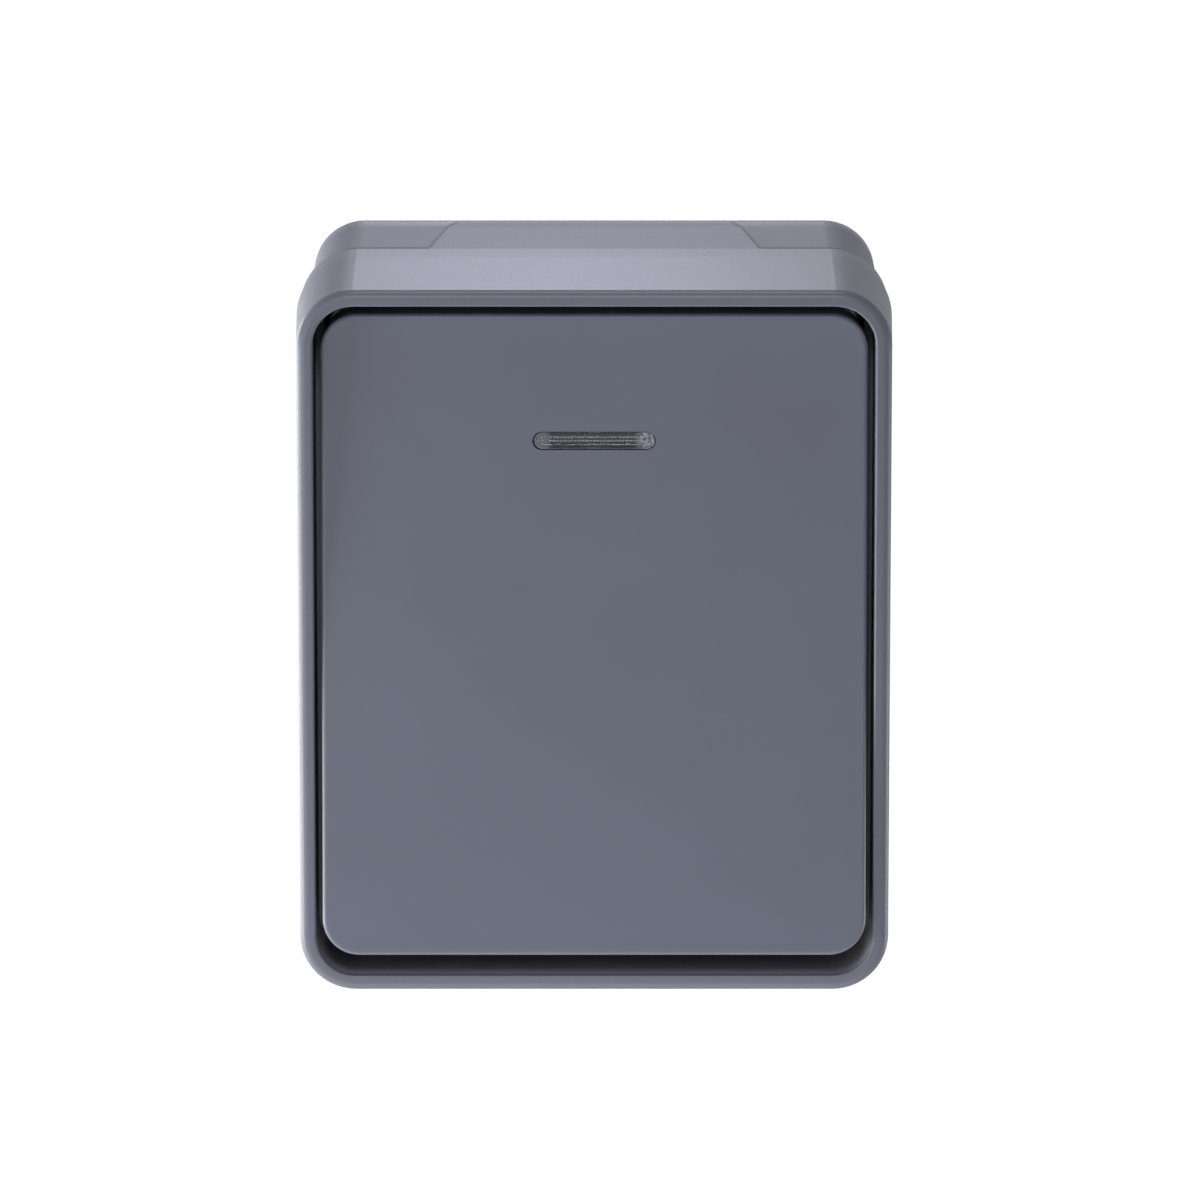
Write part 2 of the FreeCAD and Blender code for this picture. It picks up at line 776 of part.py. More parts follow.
def switch_body():
    piece = Piece("switch_body")
    piece.add([Rounded(0, 0, s.body_width, s.body_height, s.body_corner)], body_back, s.box_depth)
    chamber = oblong(0, 0, s.chamber_width, s.bar_length + 2 * s.chamber_end_gap)
    piece.cut([chamber], floor, s.box_depth)
    pockets = [oblong(x, z, s.pocket_width, s.pocket_height) for x, z in terminal_centres]
    piece.cut(pockets, floor, s.box_depth)

    # Passages for the terminal strips from the chamber to the pockets
    slot_inner = s.chamber_width / 2 - 1
    slot_outer = s.terminal_x
    slot_height = s.strip_width + 2 * s.fit_gap
    slot_x = (slot_inner + slot_outer) / 2
    slots = [
        oblong(side_x * slot_x, side_z * s.terminal_z, slot_outer - slot_inner, slot_height)
        for side_x, side_z in TERMINALS
    ]
    piece.cut(slots, floor, strip_front + s.fit_gap)

    # Wire holes from the end faces, and notches for the snap clips
    ends = s.body_height / 2
    pocket_end = s.terminal_z + s.pocket_height / 2
    upper = [Disc(side_x * s.terminal_x, -wire_depth, s.wire_hole) for side_x in (-1, 1)]
    piece.cut(upper, pocket_end - 1, ends, TOP_VIEW)
    piece.cut([Disc(s.terminal_x, -wire_depth, s.wire_hole)], -ends, 1 - pocket_end, TOP_VIEW)
    notch_low = s.box_depth - s.clip_reach - s.fit_gap
    notch_high = notch_low + s.hook_height + 2 * s.fit_gap
    notch_x = s.body_width / 2 - s.hook_depth
    notches = [
        oblong(side * (notch_x + s.hook_depth / 2), 0, s.hook_depth, s.clip_width + 2 * s.fit_gap)
        for side in (1, -1)
    ]
    piece.cut(notches, notch_low, notch_high)


def mechanism_frame():
    piece = Piece("mechanism_frame")
    plate_top = seal_top + s.plate_top_edge
    plate_bottom = s.body_height / 2 + s.plate_overhang
    middle = (plate_top - plate_bottom) / 2
    plate = Rounded(0, middle, 2 * plate_half_width, plate_top + plate_bottom, s.plate_corner)
    piece.add([plate], s.box_depth, plate_front)
    ears = Rounded(0, 0, 2 * (ear_hole_x + s.ear_edge), s.ear_height, s.plate_corner)
    piece.add([ears], s.box_depth, plate_front)
    ear_inner = s.cheek_outer / 2 + s.pivot_ear_gap
    ear_outer = ear_inner + s.pivot_ear_thickness
    hinge_hole = s.hinge_pin + 2 * s.hinge_clearance
    for side in (1, -1):
        low, high = (ear_inner, ear_outer) if side > 0 else (-ear_outer, -ear_inner)
        piece.add([Arch(-pivot, 0, s.pivot_ear_radius, -plate_front)], low, high, SIDE_VIEW)
        piece.cut([Disc(-pivot, 0, hinge_hole)], low, high, SIDE_VIEW)
    piece.cut([Rounded(0, 0, s.window_width, s.window_height, s.plate_corner)], s.box_depth, plate_front)
    ear_hole = s.mechanism_screw_diameter + s.screw_clearance
    piece.cut([Disc(side * ear_hole_x, 0, ear_hole) for side in (1, -1)], s.box_depth, plate_front)
    piece.cut([Disc(0, lens_z, s.holder_diameter + 2 * s.fit_gap)], s.box_depth, plate_front)
    access = [Disc(x, z, s.access_hole) for x, z in terminal_centres]
    piece.cut(access, s.box_depth, plate_front)

    # Snap clips at the sides, hooked into the notches of the switch body
    clip_x = clip_inner + s.clip_thickness / 2
    clips = [oblong(side * clip_x, 0, s.clip_thickness, s.clip_width) for side in (1, -1)]
    piece.add(clips, s.box_depth - s.clip_reach, s.box_depth)
    hook_x = clip_inner - s.hook_depth / 2
    hooks = [oblong(side * hook_x, 0, s.hook_depth, s.clip_width) for side in (1, -1)]
    hook_back = s.box_depth - s.clip_reach
    piece.add(hooks, hook_back, hook_back + s.hook_height)


def mechanism_screws():
    add_screws(
        "mechanism_screws",
        [(side * ear_hole_x, as_size(0)) for side in (1, -1)],
        plate_front,
        s.mechanism_screw_head,
        s.mechanism_screw_head_height,
        s.mechanism_screw_diameter,
        s.mechanism_screw_length,
        s.mechanism_screw_head_height / 3,
    )


def frame_seal():
    piece = Piece("frame_seal")
    middle = (seal_top - seal_bottom) / 2
    width, height = 2 * seal_side, seal_top + seal_bottom
    inner_width, inner_height = width - 2 * s.frame_seal_width, height - 2 * s.frame_seal_width
    outer = Rounded(0, middle, width, height, s.plate_corner + s.frame_seal_width)
    inner = Rounded(0, middle, inner_width, inner_height, s.plate_corner)
    piece.add([outer, inner], plate_front, deck_back)


# Terminals and contacts

def strip_outline(side_x, side_z):
    """A flat strip from under a contact to its pillar."""
    half = s.strip_width / 2
    inner = -side_x * half
    outer = side_x * (s.terminal_x + s.pillar_width / 2)
    low, high = side_z * s.terminal_z - half, side_z * s.terminal_z + half
    return Outline((inner, low), (outer, low), (outer, high), (inner, high))


def common_terminal():
    """The strip that carries the seesaw bar, with two notched cheeks for the bar's lugs."""
    piece = Piece("common_terminal")
    half = s.strip_width / 2
    bracket_inner = s.bar_width / 2 + s.bracket_gap
    bracket_outer = bracket_inner + s.bracket_wall
    outer = s.terminal_x + s.pillar_width / 2
    base = Outline(
        (bracket_outer, -half),
        (bracket_outer, half),
        (-bracket_inner, half),
        (-bracket_inner, s.terminal_z + half),
        (-outer, s.terminal_z + half),
        (-outer, s.terminal_z - half),
        (-bracket_outer, s.terminal_z - half),
        (-bracket_outer, -half),
    )
    piece.add([base], floor, strip_front)
    notch = s.lug_diameter + 2 * s.hinge_clearance
    cheek_front = bar_axis + s.lug_diameter
    for low, high in ((bracket_inner, bracket_outer), (-bracket_outer, -bracket_inner)):
        cheek = oblong(-(strip_front + cheek_front) / 2, 0, cheek_front - strip_front, s.strip_width)
        piece.add([cheek], low, high, SIDE_VIEW)
        piece.cut([Arch(-bar_axis, 0, notch / 2, -cheek_front)], low, high, SIDE_VIEW)


def outgoing_terminal(name, side_z):
    piece = Piece(name)
    piece.add([strip_outline(1, side_z)], floor, strip_front)


def fixed_contacts():
    """Two rivets that stop just short of the moving contacts when the bar leans on them."""
    piece = Piece("fixed_contacts")
    flat_edge = s.contact_diameter / 2 - s.contact_rounding
    axis_to_edge = s.bar_axis_behind - s.bar_thickness - s.contact_height + s.contact_rounding
    swing = (s.contact_z + flat_edge) * sine(s.bar_tilt)
    reach = s.contact_rounding + swing - axis_to_edge * cosine(s.bar_tilt)
    face = bar_axis - reach - s.contact_gap
    centres = [(as_size(0), side * s.contact_z) for side in (1, -1)]
    piece.add([Disc(x, z, s.fixed_contact_diameter) for x, z in centres], strip_front, face)
    piece.round(s.contact_rounding, at_depth(face))


def terminal_pillars():
    piece = Piece("terminal_pillars")
    pillars = [oblong(x, z, s.pillar_width, s.pillar_height) for x, z in terminal_centres]
    piece.add(pillars, strip_front, pillar_front)
    half = s.pillar_height / 2
    for side_x, side_z in TERMINALS:
        middle = side_z * s.terminal_z
        bore = Disc(side_x * s.terminal_x, -wire_depth, s.pillar_bore)
        piece.cut([bore], middle - half, middle + half, TOP_VIEW)
    thread = s.terminal_screw_diameter + s.thread_clearance
    piece.cut([Disc(x, z, thread) for x, z in terminal_centres], wire_depth, pillar_front)


def terminal_screws():
    seat = pillar_front + s.terminal_screw_backoff
    top = seat + s.terminal_screw_head_height
    tip = wire_depth + s.pillar_bore / 2
    piece = Piece("terminal_screws")
    piece.add([Disc(x, z, s.terminal_screw_head) for x, z in terminal_centres], seat, top)
    piece.add([Disc(x, z, s.terminal_screw_diameter) for x, z in terminal_centres], tip, seat)
    slots = [oblong(x, z, s.terminal_screw_head, s.drive_width) for x, z in terminal_centres]
    piece.cut(slots, top - s.terminal_screw_head_height / 2, top)


def contact_bar():
    """The seesaw bar: a flat strip with two cheeks folded back to the lugs it rocks on."""
    piece = Piece("contact_bar")
    piece.add([Rounded(0, 0, s.bar_width, s.bar_length, s.body_corner)], bar_back, bar_front)
    half = s.bar_width / 2
    lug_radius = s.lug_diameter / 2
    for side in (1, -1):
        low, high = (half - s.bar_cheek, half) if side > 0 else (-half, s.bar_cheek - half)
        cheek = Arch(-bar_axis, 0, s.bar_cheek_height / 2 - s.bar_thickness / 2, -bar_back)
        piece.add([cheek], low, high, SIDE_VIEW)
        lug_end = half + s.lug_length
        low, high = (half - s.bar_cheek / 2, lug_end) if side > 0 else (-lug_end, s.bar_cheek / 2 - half)
        piece.add([Disc(-bar_axis, 0, 2 * lug_radius)], low, high, SIDE_VIEW)
    piece.place(bar_axis, s.bar_tilt)


def moving_contacts():
    piece = Piece("moving_contacts")
    centres = [(as_size(0), side * s.contact_z) for side in (1, -1)]
    back = bar_back - s.contact_height
    piece.add([Disc(x, z, s.contact_diameter) for x, z in centres], back, bar_back)
    piece.round(s.contact_rounding, at_depth(back))
    piece.place(bar_axis, s.bar_tilt)


# Rocker, lens and dolly: one moving group, drawn level and then tipped about the hinge axis

def rocker():
    piece = Piece("rocker")
    outline = Rounded(0, 0, 2 * rocker_half_width, 2 * rocker_half_height, s.rocker_corner)
    piece.add([outline], skirt_back, rocker_face)
    piece.round(s.rocker_rounding, at_depth(rocker_face))
    inner_x = rocker_half_width - s.rocker_side_wall
    inner_z = rocker_half_height - s.rocker_side_wall
    hollow = Rounded(0, 0, 2 * inner_x, 2 * inner_z, s.rocker_corner - s.rocker_side_wall)
    piece.cut([hollow], skirt_back, rocker_inside)

    # Stiffening ribs, with two long ones that bear on the dolly
    rib_x = s.cheek_outer / 2
    long_ribs = [oblong(side * rib_x, 0, s.rocker_rib, s.dolly_plate_height) for side in (1, -1)]
    piece.add(long_ribs, dolly_plate_front, rocker_inside)
    cross_z = s.dolly_plate_height / 2 + s.rocker_rib / 2
    cross_ribs = [oblong(0, side * cross_z, 2 * inner_x, s.rocker_rib) for side in (1, -1)]
    piece.add(cross_ribs, dolly_plate_front, rocker_inside)
    side_x = s.dolly_plate_width / 2 + s.fit_gap + s.leg_thickness + s.rocker_rib
    side_ribs = [oblong(side * side_x, 0, s.rocker_rib, 2 * inner_z) for side in (1, -1)]
    piece.add(side_ribs, dolly_plate_front, rocker_inside)

    # Spring legs that hook behind the dolly's plate
    leg_inner = s.dolly_plate_width / 2 + s.fit_gap
    leg_x = leg_inner + s.leg_thickness / 2
    hook_front = dolly_plate_back - s.fit_gap
    hook_back = hook_front - s.hook_height
    leg_z = s.leg_spacing / 2
    legs = [oblong(x, z, s.leg_thickness, s.leg_width) for x, z in corners(leg_x, leg_z)]
    piece.add(legs, hook_back, rocker_inside)
    hook_x = leg_inner - s.hook_depth / 2
    hooks = [oblong(x, z, s.hook_depth, s.leg_width) for x, z in corners(hook_x, leg_z)]
    piece.add(hooks, hook_back, hook_front)

    piece.cut([Slot(0, lens_z, s.lens_length, s.lens_width)], rocker_inside, rocker_face)
    piece.place(pivot, -s.rest_tilt)


def indicator_lens():
    piece = Piece("indicator_lens")
    flange = Rounded(0, lens_z, s.lens_flange_length, s.lens_flange_width, s.body_corner)
    piece.add([flange], rocker_inside - s.lens_flange_thickness, rocker_inside)
    length, width = s.lens_length - 2 * s.lens_gap, s.lens_width - 2 * s.lens_gap
    piece.add([Slot(0, lens_z, length, width)], rocker_inside, rocker_face)
    piece.place(pivot, -s.rest_tilt)


def dolly():
    piece = Piece("dolly")
    plate = Rounded(0, 0, s.dolly_plate_width, s.dolly_plate_height, s.plate_corner)
    piece.add([plate], dolly_plate_back, dolly_plate_front)
    outer = s.cheek_outer / 2
    inner = outer - s.cheek_thickness
    pin_end = outer + s.pivot_ear_gap + s.pivot_ear_thickness + s.pivot_ear_gap
    for side in (1, -1):
        low, high = (inner, outer) if side > 0 else (-outer, -inner)
        piece.add([Arch(-pivot, 0, s.cheek_radius, -dolly_plate_back)], low, high, SIDE_VIEW)
        low, high = (outer, pin_end) if side > 0 else (-pin_end, -outer)
        piece.add([Disc(-pivot, 0, s.hinge_pin)], low, high, SIDE_VIEW)
    barrel_back = pivot - s.barrel_reach
    piece.add([Disc(0, 0, s.barrel_diameter)], barrel_back, dolly_plate_back)
    piece.add([oblong(0, 0, 2 * inner, s.web_thickness)], pivot, dolly_plate_back)
    piece.cut([Disc(0, 0, s.barrel_bore)], barrel_back, pivot - s.bore_top)
    piece.place(pivot, -s.rest_tilt)


def plunger():
    piece = Piece("plunger")
    tip = pivot - s.plunger_tip
    piece.add([Disc(0, 0, s.plunger_diameter)], tip, tip + s.plunger_length)
    piece.round(s.plunger_rounding, at_depth(tip))
    piece.place(pivot, -s.rest_tilt)


def plunger_spring():
    """A coil between the end of the barrel's bore and the plunger, along the barrel's axis."""
    piece = Piece("plunger_spring")
    seat = pivot - s.bore_top
    head = pivot - s.plunger_tip + s.plunger_length
    start = seat - s.spring_wire
    travel = start - head - s.spring_wire
    wire = piece.sketch([Disc(s.spring_coil / 2, -start, s.spring_wire)], 0, TOP_VIEW)
    helix = piece.feature("PartDesign::AdditiveHelix", "coil")
    helix.Profile = (wire, [""])
    helix.ReferenceAxis = (piece.origin("Y_Axis"), [""])
    helix.Mode = 0
    bind(helix, "Height", travel)
    bind(helix, "Pitch", travel / s.spring_turns)
    doc.recompute()
    piece.place(pivot, -s.rest_tilt)


# Indicator lamp with its holder, resistor and leads

def lamp_holder():
    piece = Piece("lamp_holder")
    tail_back = s.box_depth - s.holder_tail
    piece.add([Disc(0, lens_z, s.holder_flange_diameter)], plate_front, plate_front + s.holder_flange)
    piece.add([Disc(0, lens_z, s.holder_diameter)], s.box_depth, lamp_seat + s.lamp_rim)
    piece.add([Disc(0, lens_z, s.holder_tail_diameter)], tail_back, s.box_depth)
    bore = s.lamp_rim_diameter + 2 * s.fit_gap
    piece.cut([Disc(0, lens_z, bore)], lamp_seat, lamp_seat + s.lamp_rim)
    lead_hole = s.lead_diameter + 2 * s.fit_gap
    holes = [Disc(side * s.lead_spacing / 2, lens_z, lead_hole) for side in (1, -1)]
    piece.cut(holes, tail_back, lamp_seat)


def indicator_lamp():
    piece = Piece("indicator_lamp")
    piece.add([Disc(0, lens_z, s.lamp_rim_diameter)], lamp_seat, lamp_seat + s.lamp_rim)
    piece.add([Disc(0, lens_z, s.lamp_diameter)], lamp_seat + s.lamp_rim, lamp_tip)
    piece.round(s.lamp_rounding, at_depth(lamp_tip))


lead_run_depth = wire_depth
resistor_x = -(s.terminal_x + s.lead_spacing / 2) / 2


def lamp_resistor():
    piece = Piece("lamp_resistor")
    half = s.resistor_length / 2
    middle = resistor_x
    low, high = middle - half, middle + half
    piece.add([Disc(-lead_run_depth, lens_z, s.resistor_diameter)], low, high, SIDE_VIEW)
    piece.round(s.resistor_diameter / 5, rim_of(low, high))


def rim_of(*levels):
    """Chooses the circles at the given x positions."""

    def chosen(edge):
        box = edge.BoundBox
        if box.XLength > NEAR:
            return False
        return any(abs(box.XMin - level.number) < NEAR for level in levels)

    return chosen


def lamp_leads():
    """Two wires from the lamp: back out of the holder, across, and down into the terminals."""
    piece = Piece("lamp_leads")
    wire = s.lead_diameter
    half = s.resistor_length / 2
    for side in (1, -1):
        start, end = side * s.lead_spacing / 2, side * s.terminal_x
        piece.add([Disc(start, lens_z, wire)], lead_run_depth, lamp_seat)
        if side > 0:
            runs = [(start, end)]
        else:
            runs = [(resistor_x + half, start), (end, resistor_x - half)]
        for low, high in runs:
            piece.add([Disc(-lead_run_depth, lens_z, wire)], low, high, SIDE_VIEW)
        piece.add([Disc(end, -lead_run_depth, wire)], s.lead_into_terminal, lens_z, TOP_VIEW)


BUILDERS = (
    rear_box,
    box_gasket,
    front_cover,
    cover_screws,
    cover_screw_seals,
    switch_body,
    mechanism_frame,
    mechanism_screws,
    frame_seal,
    common_terminal,
    fixed_contacts,
    terminal_pillars,
    terminal_screws,
    contact_bar,
    moving_contacts,
    rocker,
    indicator_lens,
    dolly,
    plunger,
    plunger_spring,
    lamp_holder,
    indicator_lamp,
    lamp_resistor,
    lamp_leads,
)

for build in BUILDERS:
    build()
outgoing_terminal("upper_terminal", 1)
outgoing_terminal("lower_terminal", -1)
doc.recompute()

# Checks, then one file for each piece

for item in doc.Objects:
    if {"Invalid", "Error"} & set(item.State):
        raise RuntimeError(f"{item.Name} is {item.State}")
bodies = [item for item in doc.Objects if item.TypeId == "PartDesign::Body"]
for body in bodies:
    if body.Shape.isNull() or not body.Shape.isValid():
        raise RuntimeError(f"{body.Label} has no sound shape")

os.makedirs("parts", exist_ok=True)
for body in bodies:
    body.Shape.exportStep(f"parts/{body.Label}.step")
    print(f"{body.Label}: {len(body.Shape.Solids)} solid(s), {body.Shape.Volume / 1000:.2f} cm3")
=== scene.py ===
# %% [markdown]
# The looks of a weatherproof wall switch
#
# The switch is already built to size by a CAD program: a wall box, a front cover, a large tilting
# rocker and the two-way contact mechanism behind it. This notebook gives every piece its finish and
# models the few pieces whose form is finer than a CAD solid holds. Each chapter first says what the
# real piece is like, then how it could be made, and then why one way was chosen.

import math

import bpy
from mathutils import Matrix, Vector


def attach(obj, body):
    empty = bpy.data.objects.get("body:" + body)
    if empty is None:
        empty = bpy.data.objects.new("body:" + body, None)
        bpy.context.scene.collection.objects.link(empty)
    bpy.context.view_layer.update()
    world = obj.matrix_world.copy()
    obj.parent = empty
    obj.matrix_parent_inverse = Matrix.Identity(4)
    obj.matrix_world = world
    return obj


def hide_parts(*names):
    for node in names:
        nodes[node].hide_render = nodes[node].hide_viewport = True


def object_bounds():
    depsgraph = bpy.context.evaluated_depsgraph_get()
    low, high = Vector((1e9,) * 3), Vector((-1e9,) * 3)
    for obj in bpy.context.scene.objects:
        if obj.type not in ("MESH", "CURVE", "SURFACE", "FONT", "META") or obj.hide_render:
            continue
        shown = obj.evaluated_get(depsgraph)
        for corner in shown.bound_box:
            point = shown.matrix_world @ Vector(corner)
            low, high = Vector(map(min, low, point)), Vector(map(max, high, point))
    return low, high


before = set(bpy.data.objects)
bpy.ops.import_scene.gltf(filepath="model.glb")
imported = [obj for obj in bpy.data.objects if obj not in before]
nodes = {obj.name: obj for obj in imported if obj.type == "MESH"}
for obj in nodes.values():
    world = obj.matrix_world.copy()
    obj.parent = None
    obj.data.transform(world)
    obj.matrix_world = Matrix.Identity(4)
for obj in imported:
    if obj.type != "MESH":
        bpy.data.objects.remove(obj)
cad_low, cad_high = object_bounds()
print("pieces:", len(nodes), "size in mm:", [round(1000 * side, 2) for side in cad_high - cad_low])

# %% [markdown]
# Millimetres
#
# A switch is drawn in millimetres, and Blender works in metres. One short factor keeps the numbers of
# this notebook the ones that a maker would read off a drawing.

# %% Units and selection
MM = 0.001


def deselect_all():
    """Operators act on all that is selected, so each piece starts from an empty selection."""
    bpy.ops.object.select_all(action="DESELECT")


def make_active(piece):
    deselect_all()
    piece.select_set(True)
    bpy.context.view_layer.objects.active = piece


# %% [markdown]
# The camera
#
# The photograph looks straight at the switch from a little above it. Its upright edges stay almost
# parallel, which a long lens far away gives. A short lens close by would match the outline too, but
# it would show too little of the top. So the lens, the distance and the height were worked out
# together from the widths of the front edge and of the back edge.

# %% Place the camera
CAMERA_LENS = 274.35
CAMERA_DISTANCE = 1141.6 * MM
CAMERA_ELEVATION = math.radians(12.45)
CAMERA_AIM = Vector((0.73, -55.0, 5.62)) * MM


def add_camera():
    towards_camera = Vector((0, -math.cos(CAMERA_ELEVATION), math.sin(CAMERA_ELEVATION)))
    data = bpy.data.cameras.new("photo_camera")
    data.lens = CAMERA_LENS
    data.sensor_width = 36.0
    data.clip_start = 0.01
    camera = bpy.data.objects.new("photo_camera", data)
    camera.location = CAMERA_AIM + towards_camera * CAMERA_DISTANCE
    camera.rotation_euler = (-towards_camera).to_track_quat("-Z", "Y").to_euler()
    bpy.context.scene.collection.objects.link(camera)
    bpy.context.scene.camera = camera
    return camera


camera = add_camera()
print("camera stands at", [round(1000 * place) for place in camera.location], "mm")

# %% [markdown]
# The floor and the white surroundings
#
# The photograph has a pure white ground. More light would bleach the grey plastic as well, so the
# surroundings are white only for the camera. Gloss sees them at half that level, because a studio is
# darker beside and behind the photographer. The clear lens throws back what is near the camera, the
# darkest side of all, so light that comes through it is taken from the darkest level. Diffuse light
# from the surroundings is set apart, at a low level. The floor stays a real surface that takes the
# shadow of the switch.

# %% Light levels
AMBIENT_LEVEL = 0.04
GLOSS_LEVEL = 0.50
THROUGH_LEVEL = 0.05
print("gloss sees", GLOSS_LEVEL, "of the white, diffuse light takes", AMBIENT_LEVEL)


def calculate(tree, operation, *values):
    """One step of arithmetic on sockets and numbers."""
    step = tree.nodes.new("ShaderNodeMath")
    step.operation = operation
    for socket, value in zip(step.inputs, values):
        if isinstance(value, (int, float)):
            socket.default_value = value
        else:
            tree.links.new(value, socket)
    return step.outputs[0]


def sees_surroundings(tree):
    """A value that is 1 for camera rays, less for gloss and through glass, and 0 for diffuse rays."""
    path = tree.nodes.new("ShaderNodeLightPath")
    through = path.outputs["Is Transmission Ray"]
    gloss = calculate(tree, "MULTIPLY", path.outputs["Is Glossy Ray"], GLOSS_LEVEL)
    gloss = calculate(tree, "MULTIPLY", gloss, calculate(tree, "SUBTRACT", 1.0, through))
    aside = calculate(tree, "MULTIPLY_ADD", through, THROUGH_LEVEL, gloss)
    return calculate(tree, "MAXIMUM", path.outputs["Is Camera Ray"], aside)


# %% Make the world
def make_world():
    world = bpy.data.worlds.new("white_studio")
    bpy.context.scene.world = world
    world.use_nodes = True
    tree = world.node_tree
    tree.nodes.clear()
    ambient = tree.nodes.new("ShaderNodeBackground")
    ambient.inputs["Color"].default_value = (1, 1, 1, 1)
    ambient.inputs["Strength"].default_value = AMBIENT_LEVEL
    white = tree.nodes.new("ShaderNodeBackground")
    white.inputs["Color"].default_value = (1, 1, 1, 1)
    white.inputs["Strength"].default_value = 1.0
    choice = tree.nodes.new("ShaderNodeMixShader")
    output = tree.nodes.new("ShaderNodeOutputWorld")
    tree.links.new(sees_surroundings(tree), choice.inputs[0])
    tree.links.new(ambient.outputs[0], choice.inputs[1])
    tree.links.new(white.outputs[0], choice.inputs[2])
    tree.links.new(choice.outputs[0], output.inputs["Surface"])
    return world


world = make_world()
print("world:", world.name)

# %% Lay the floor
FLOOR_DROP = 250 * MM
FLOOR_SIDE = 12
FLOOR_GLOW = 0.97
FLOOR_PAPER = (0.85, 0.85, 0.85, 1)


def make_floor():
    deselect_all()
    bpy.ops.mesh.primitive_plane_add(size=FLOOR_SIDE, location=(0, 0, cad_low.z - FLOOR_DROP))
    floor = bpy.context.active_object
    floor.name = "floor"
    material = bpy.data.materials.new("floor_paper")
    material.use_nodes = True
    tree = material.node_tree
    tree.nodes.clear()
    paper = tree.nodes.new("ShaderNodeBsdfDiffuse")
    paper.inputs["Color"].default_value = FLOOR_PAPER
    glow = tree.nodes.new("ShaderNodeEmission")
    glow.inputs["Strength"].default_value = FLOOR_GLOW
    lit = tree.nodes.new("ShaderNodeAddShader")
    choice = tree.nodes.new("ShaderNodeMixShader")
    output = tree.nodes.new("ShaderNodeOutputMaterial")
    tree.links.new(paper.outputs[0], lit.inputs[0])
    tree.links.new(glow.outputs[0], lit.inputs[1])
    tree.links.new(sees_surroundings(tree), choice.inputs[0])
    tree.links.new(paper.outputs[0], choice.inputs[1])
    tree.links.new(lit.outputs[0], choice.inputs[2])
    tree.links.new(choice.outputs[0], output.inputs["Surface"])
    floor.data.materials.append(material)
    return floor


floor = make_floor()
bpy.context.scene.view_settings.view_transform = "Standard"
print("floor lies at a height of", round(1000 * floor.location.z), "mm")

# %% [markdown]
# Soft studio light
#
# Every lamp here was chosen by what it does to the photograph. The flat top is bright and the
# rounded corners beside it are not, so its light comes from narrow panels above the middle line:
# one behind, seen in the sheen of the plastic, and one overhead, which also fills the rounding of
# the rim. Both are bluish, as a window is.
#
# The left edge is bright and grows brighter downwards, as over a white table with a lamp on the
# left. The right edge is only faintly lit, by a weak panel that keeps the right side out of the dark.
#
# The gap beside the rocker isn't black, although it is deep and narrow. Only light from straight
# ahead gets into it, so a strip hangs in front. It hangs well above the camera, because the lens
# throws back what stands level with the camera, and the rocker mirrors what stands below it. One
# small faint panel does stand where the lens throws it back, and makes it glitter. A small card
# below the front brightens the lower third of the rocker. All are area lights, because their
# shadows are soft.

# %% Hang the lights
SKY_BLUE = (0.91, 0.94, 1.13)
PAPER_WHITE = (1.0, 1.0, 1.0)
PANELS = {
    # name: place in mm, point it faces in mm, width, height in mm, power in watts, colour
    "back_panel": ((-11, 566, 350), (0, -40, 20), 92, 180, 0.38, SKY_BLUE),
    "overhead_panel": ((0, -40, 700), (0, -40, 20), 80, 180, 0.90, SKY_BLUE),
    "front_strip": ((-14, -640, 385), (0, -40, 0), 80, 200, 1.10, PAPER_WHITE),
    "glint_panel": ((-28, -1280, 425), (0, -40, 0), 100, 60, 0.075, PAPER_WHITE),
    "left_low_panel": ((-600, -150, -190), (0, -40, 0), 400, 200, 3.3, PAPER_WHITE),
    "left_back_panel": ((-600, 350, -20), (0, -30, 0), 400, 500, 5.0, PAPER_WHITE),
    "left_near_panel": ((-189, -383, -33), (0, -55, 0), 150, 260, 0.30, PAPER_WHITE),
    "right_panel": ((600, 60, -260), (0, -30, 0), 400, 300, 2.0, PAPER_WHITE),
    "table_card": ((0, -130, -130), (0, -50, -30), 160, 80, 0.05, PAPER_WHITE),
}


def add_panel(name, place, facing, width, height, power, colour):
    data = bpy.data.lights.new(name, "AREA")
    data.shape = "RECTANGLE"
    data.size = width * MM
    data.size_y = height * MM
    data.energy = power
    data.color = colour
    panel = bpy.data.objects.new(name, data)
    panel.location = Vector(place) * MM
    panel.rotation_euler = (Vector(facing) - Vector(place)).to_track_quat("-Z", "Y").to_euler()
    bpy.context.scene.collection.objects.link(panel)
    return panel


for panel_name, panel_setting in PANELS.items():
    add_panel(panel_name, *panel_setting)
print("panels:", len(PANELS))

# %% [markdown]
# Moulded plastic
#
# The housing is injection moulded, with the fine spark-eroded grain of its steel mould. A flat
# colour with one roughness looks like paint. Real mouldings differ a little in tone where the melt
# flowed, and their grain breaks up the gloss. Two noise textures give that: a broad one shifts the
# tone, and a fine one is the grain, as bump. Both read Object coordinates, so that they keep their
# size in millimetres on every piece.

# %% Shader helpers
def object_place(tree):
    """The Object coordinates, which stay fixed to the piece."""
    return tree.nodes.new("ShaderNodeTexCoord").outputs["Object"]


def axes_of(tree, place):
    """The X, Y and Z of a place, each as a socket."""
    axes = tree.nodes.new("ShaderNodeSeparateXYZ")
    tree.links.new(place, axes.inputs[0])
    return [axes.outputs[name] for name in ("X", "Y", "Z")]


def new_material(name):
    """An empty principled material, with its tree, its shader and the Object coordinates."""
    material = bpy.data.materials.new(name)
    material.use_nodes = True
    tree = material.node_tree
    return material, tree, tree.nodes["Principled BSDF"], object_place(tree)


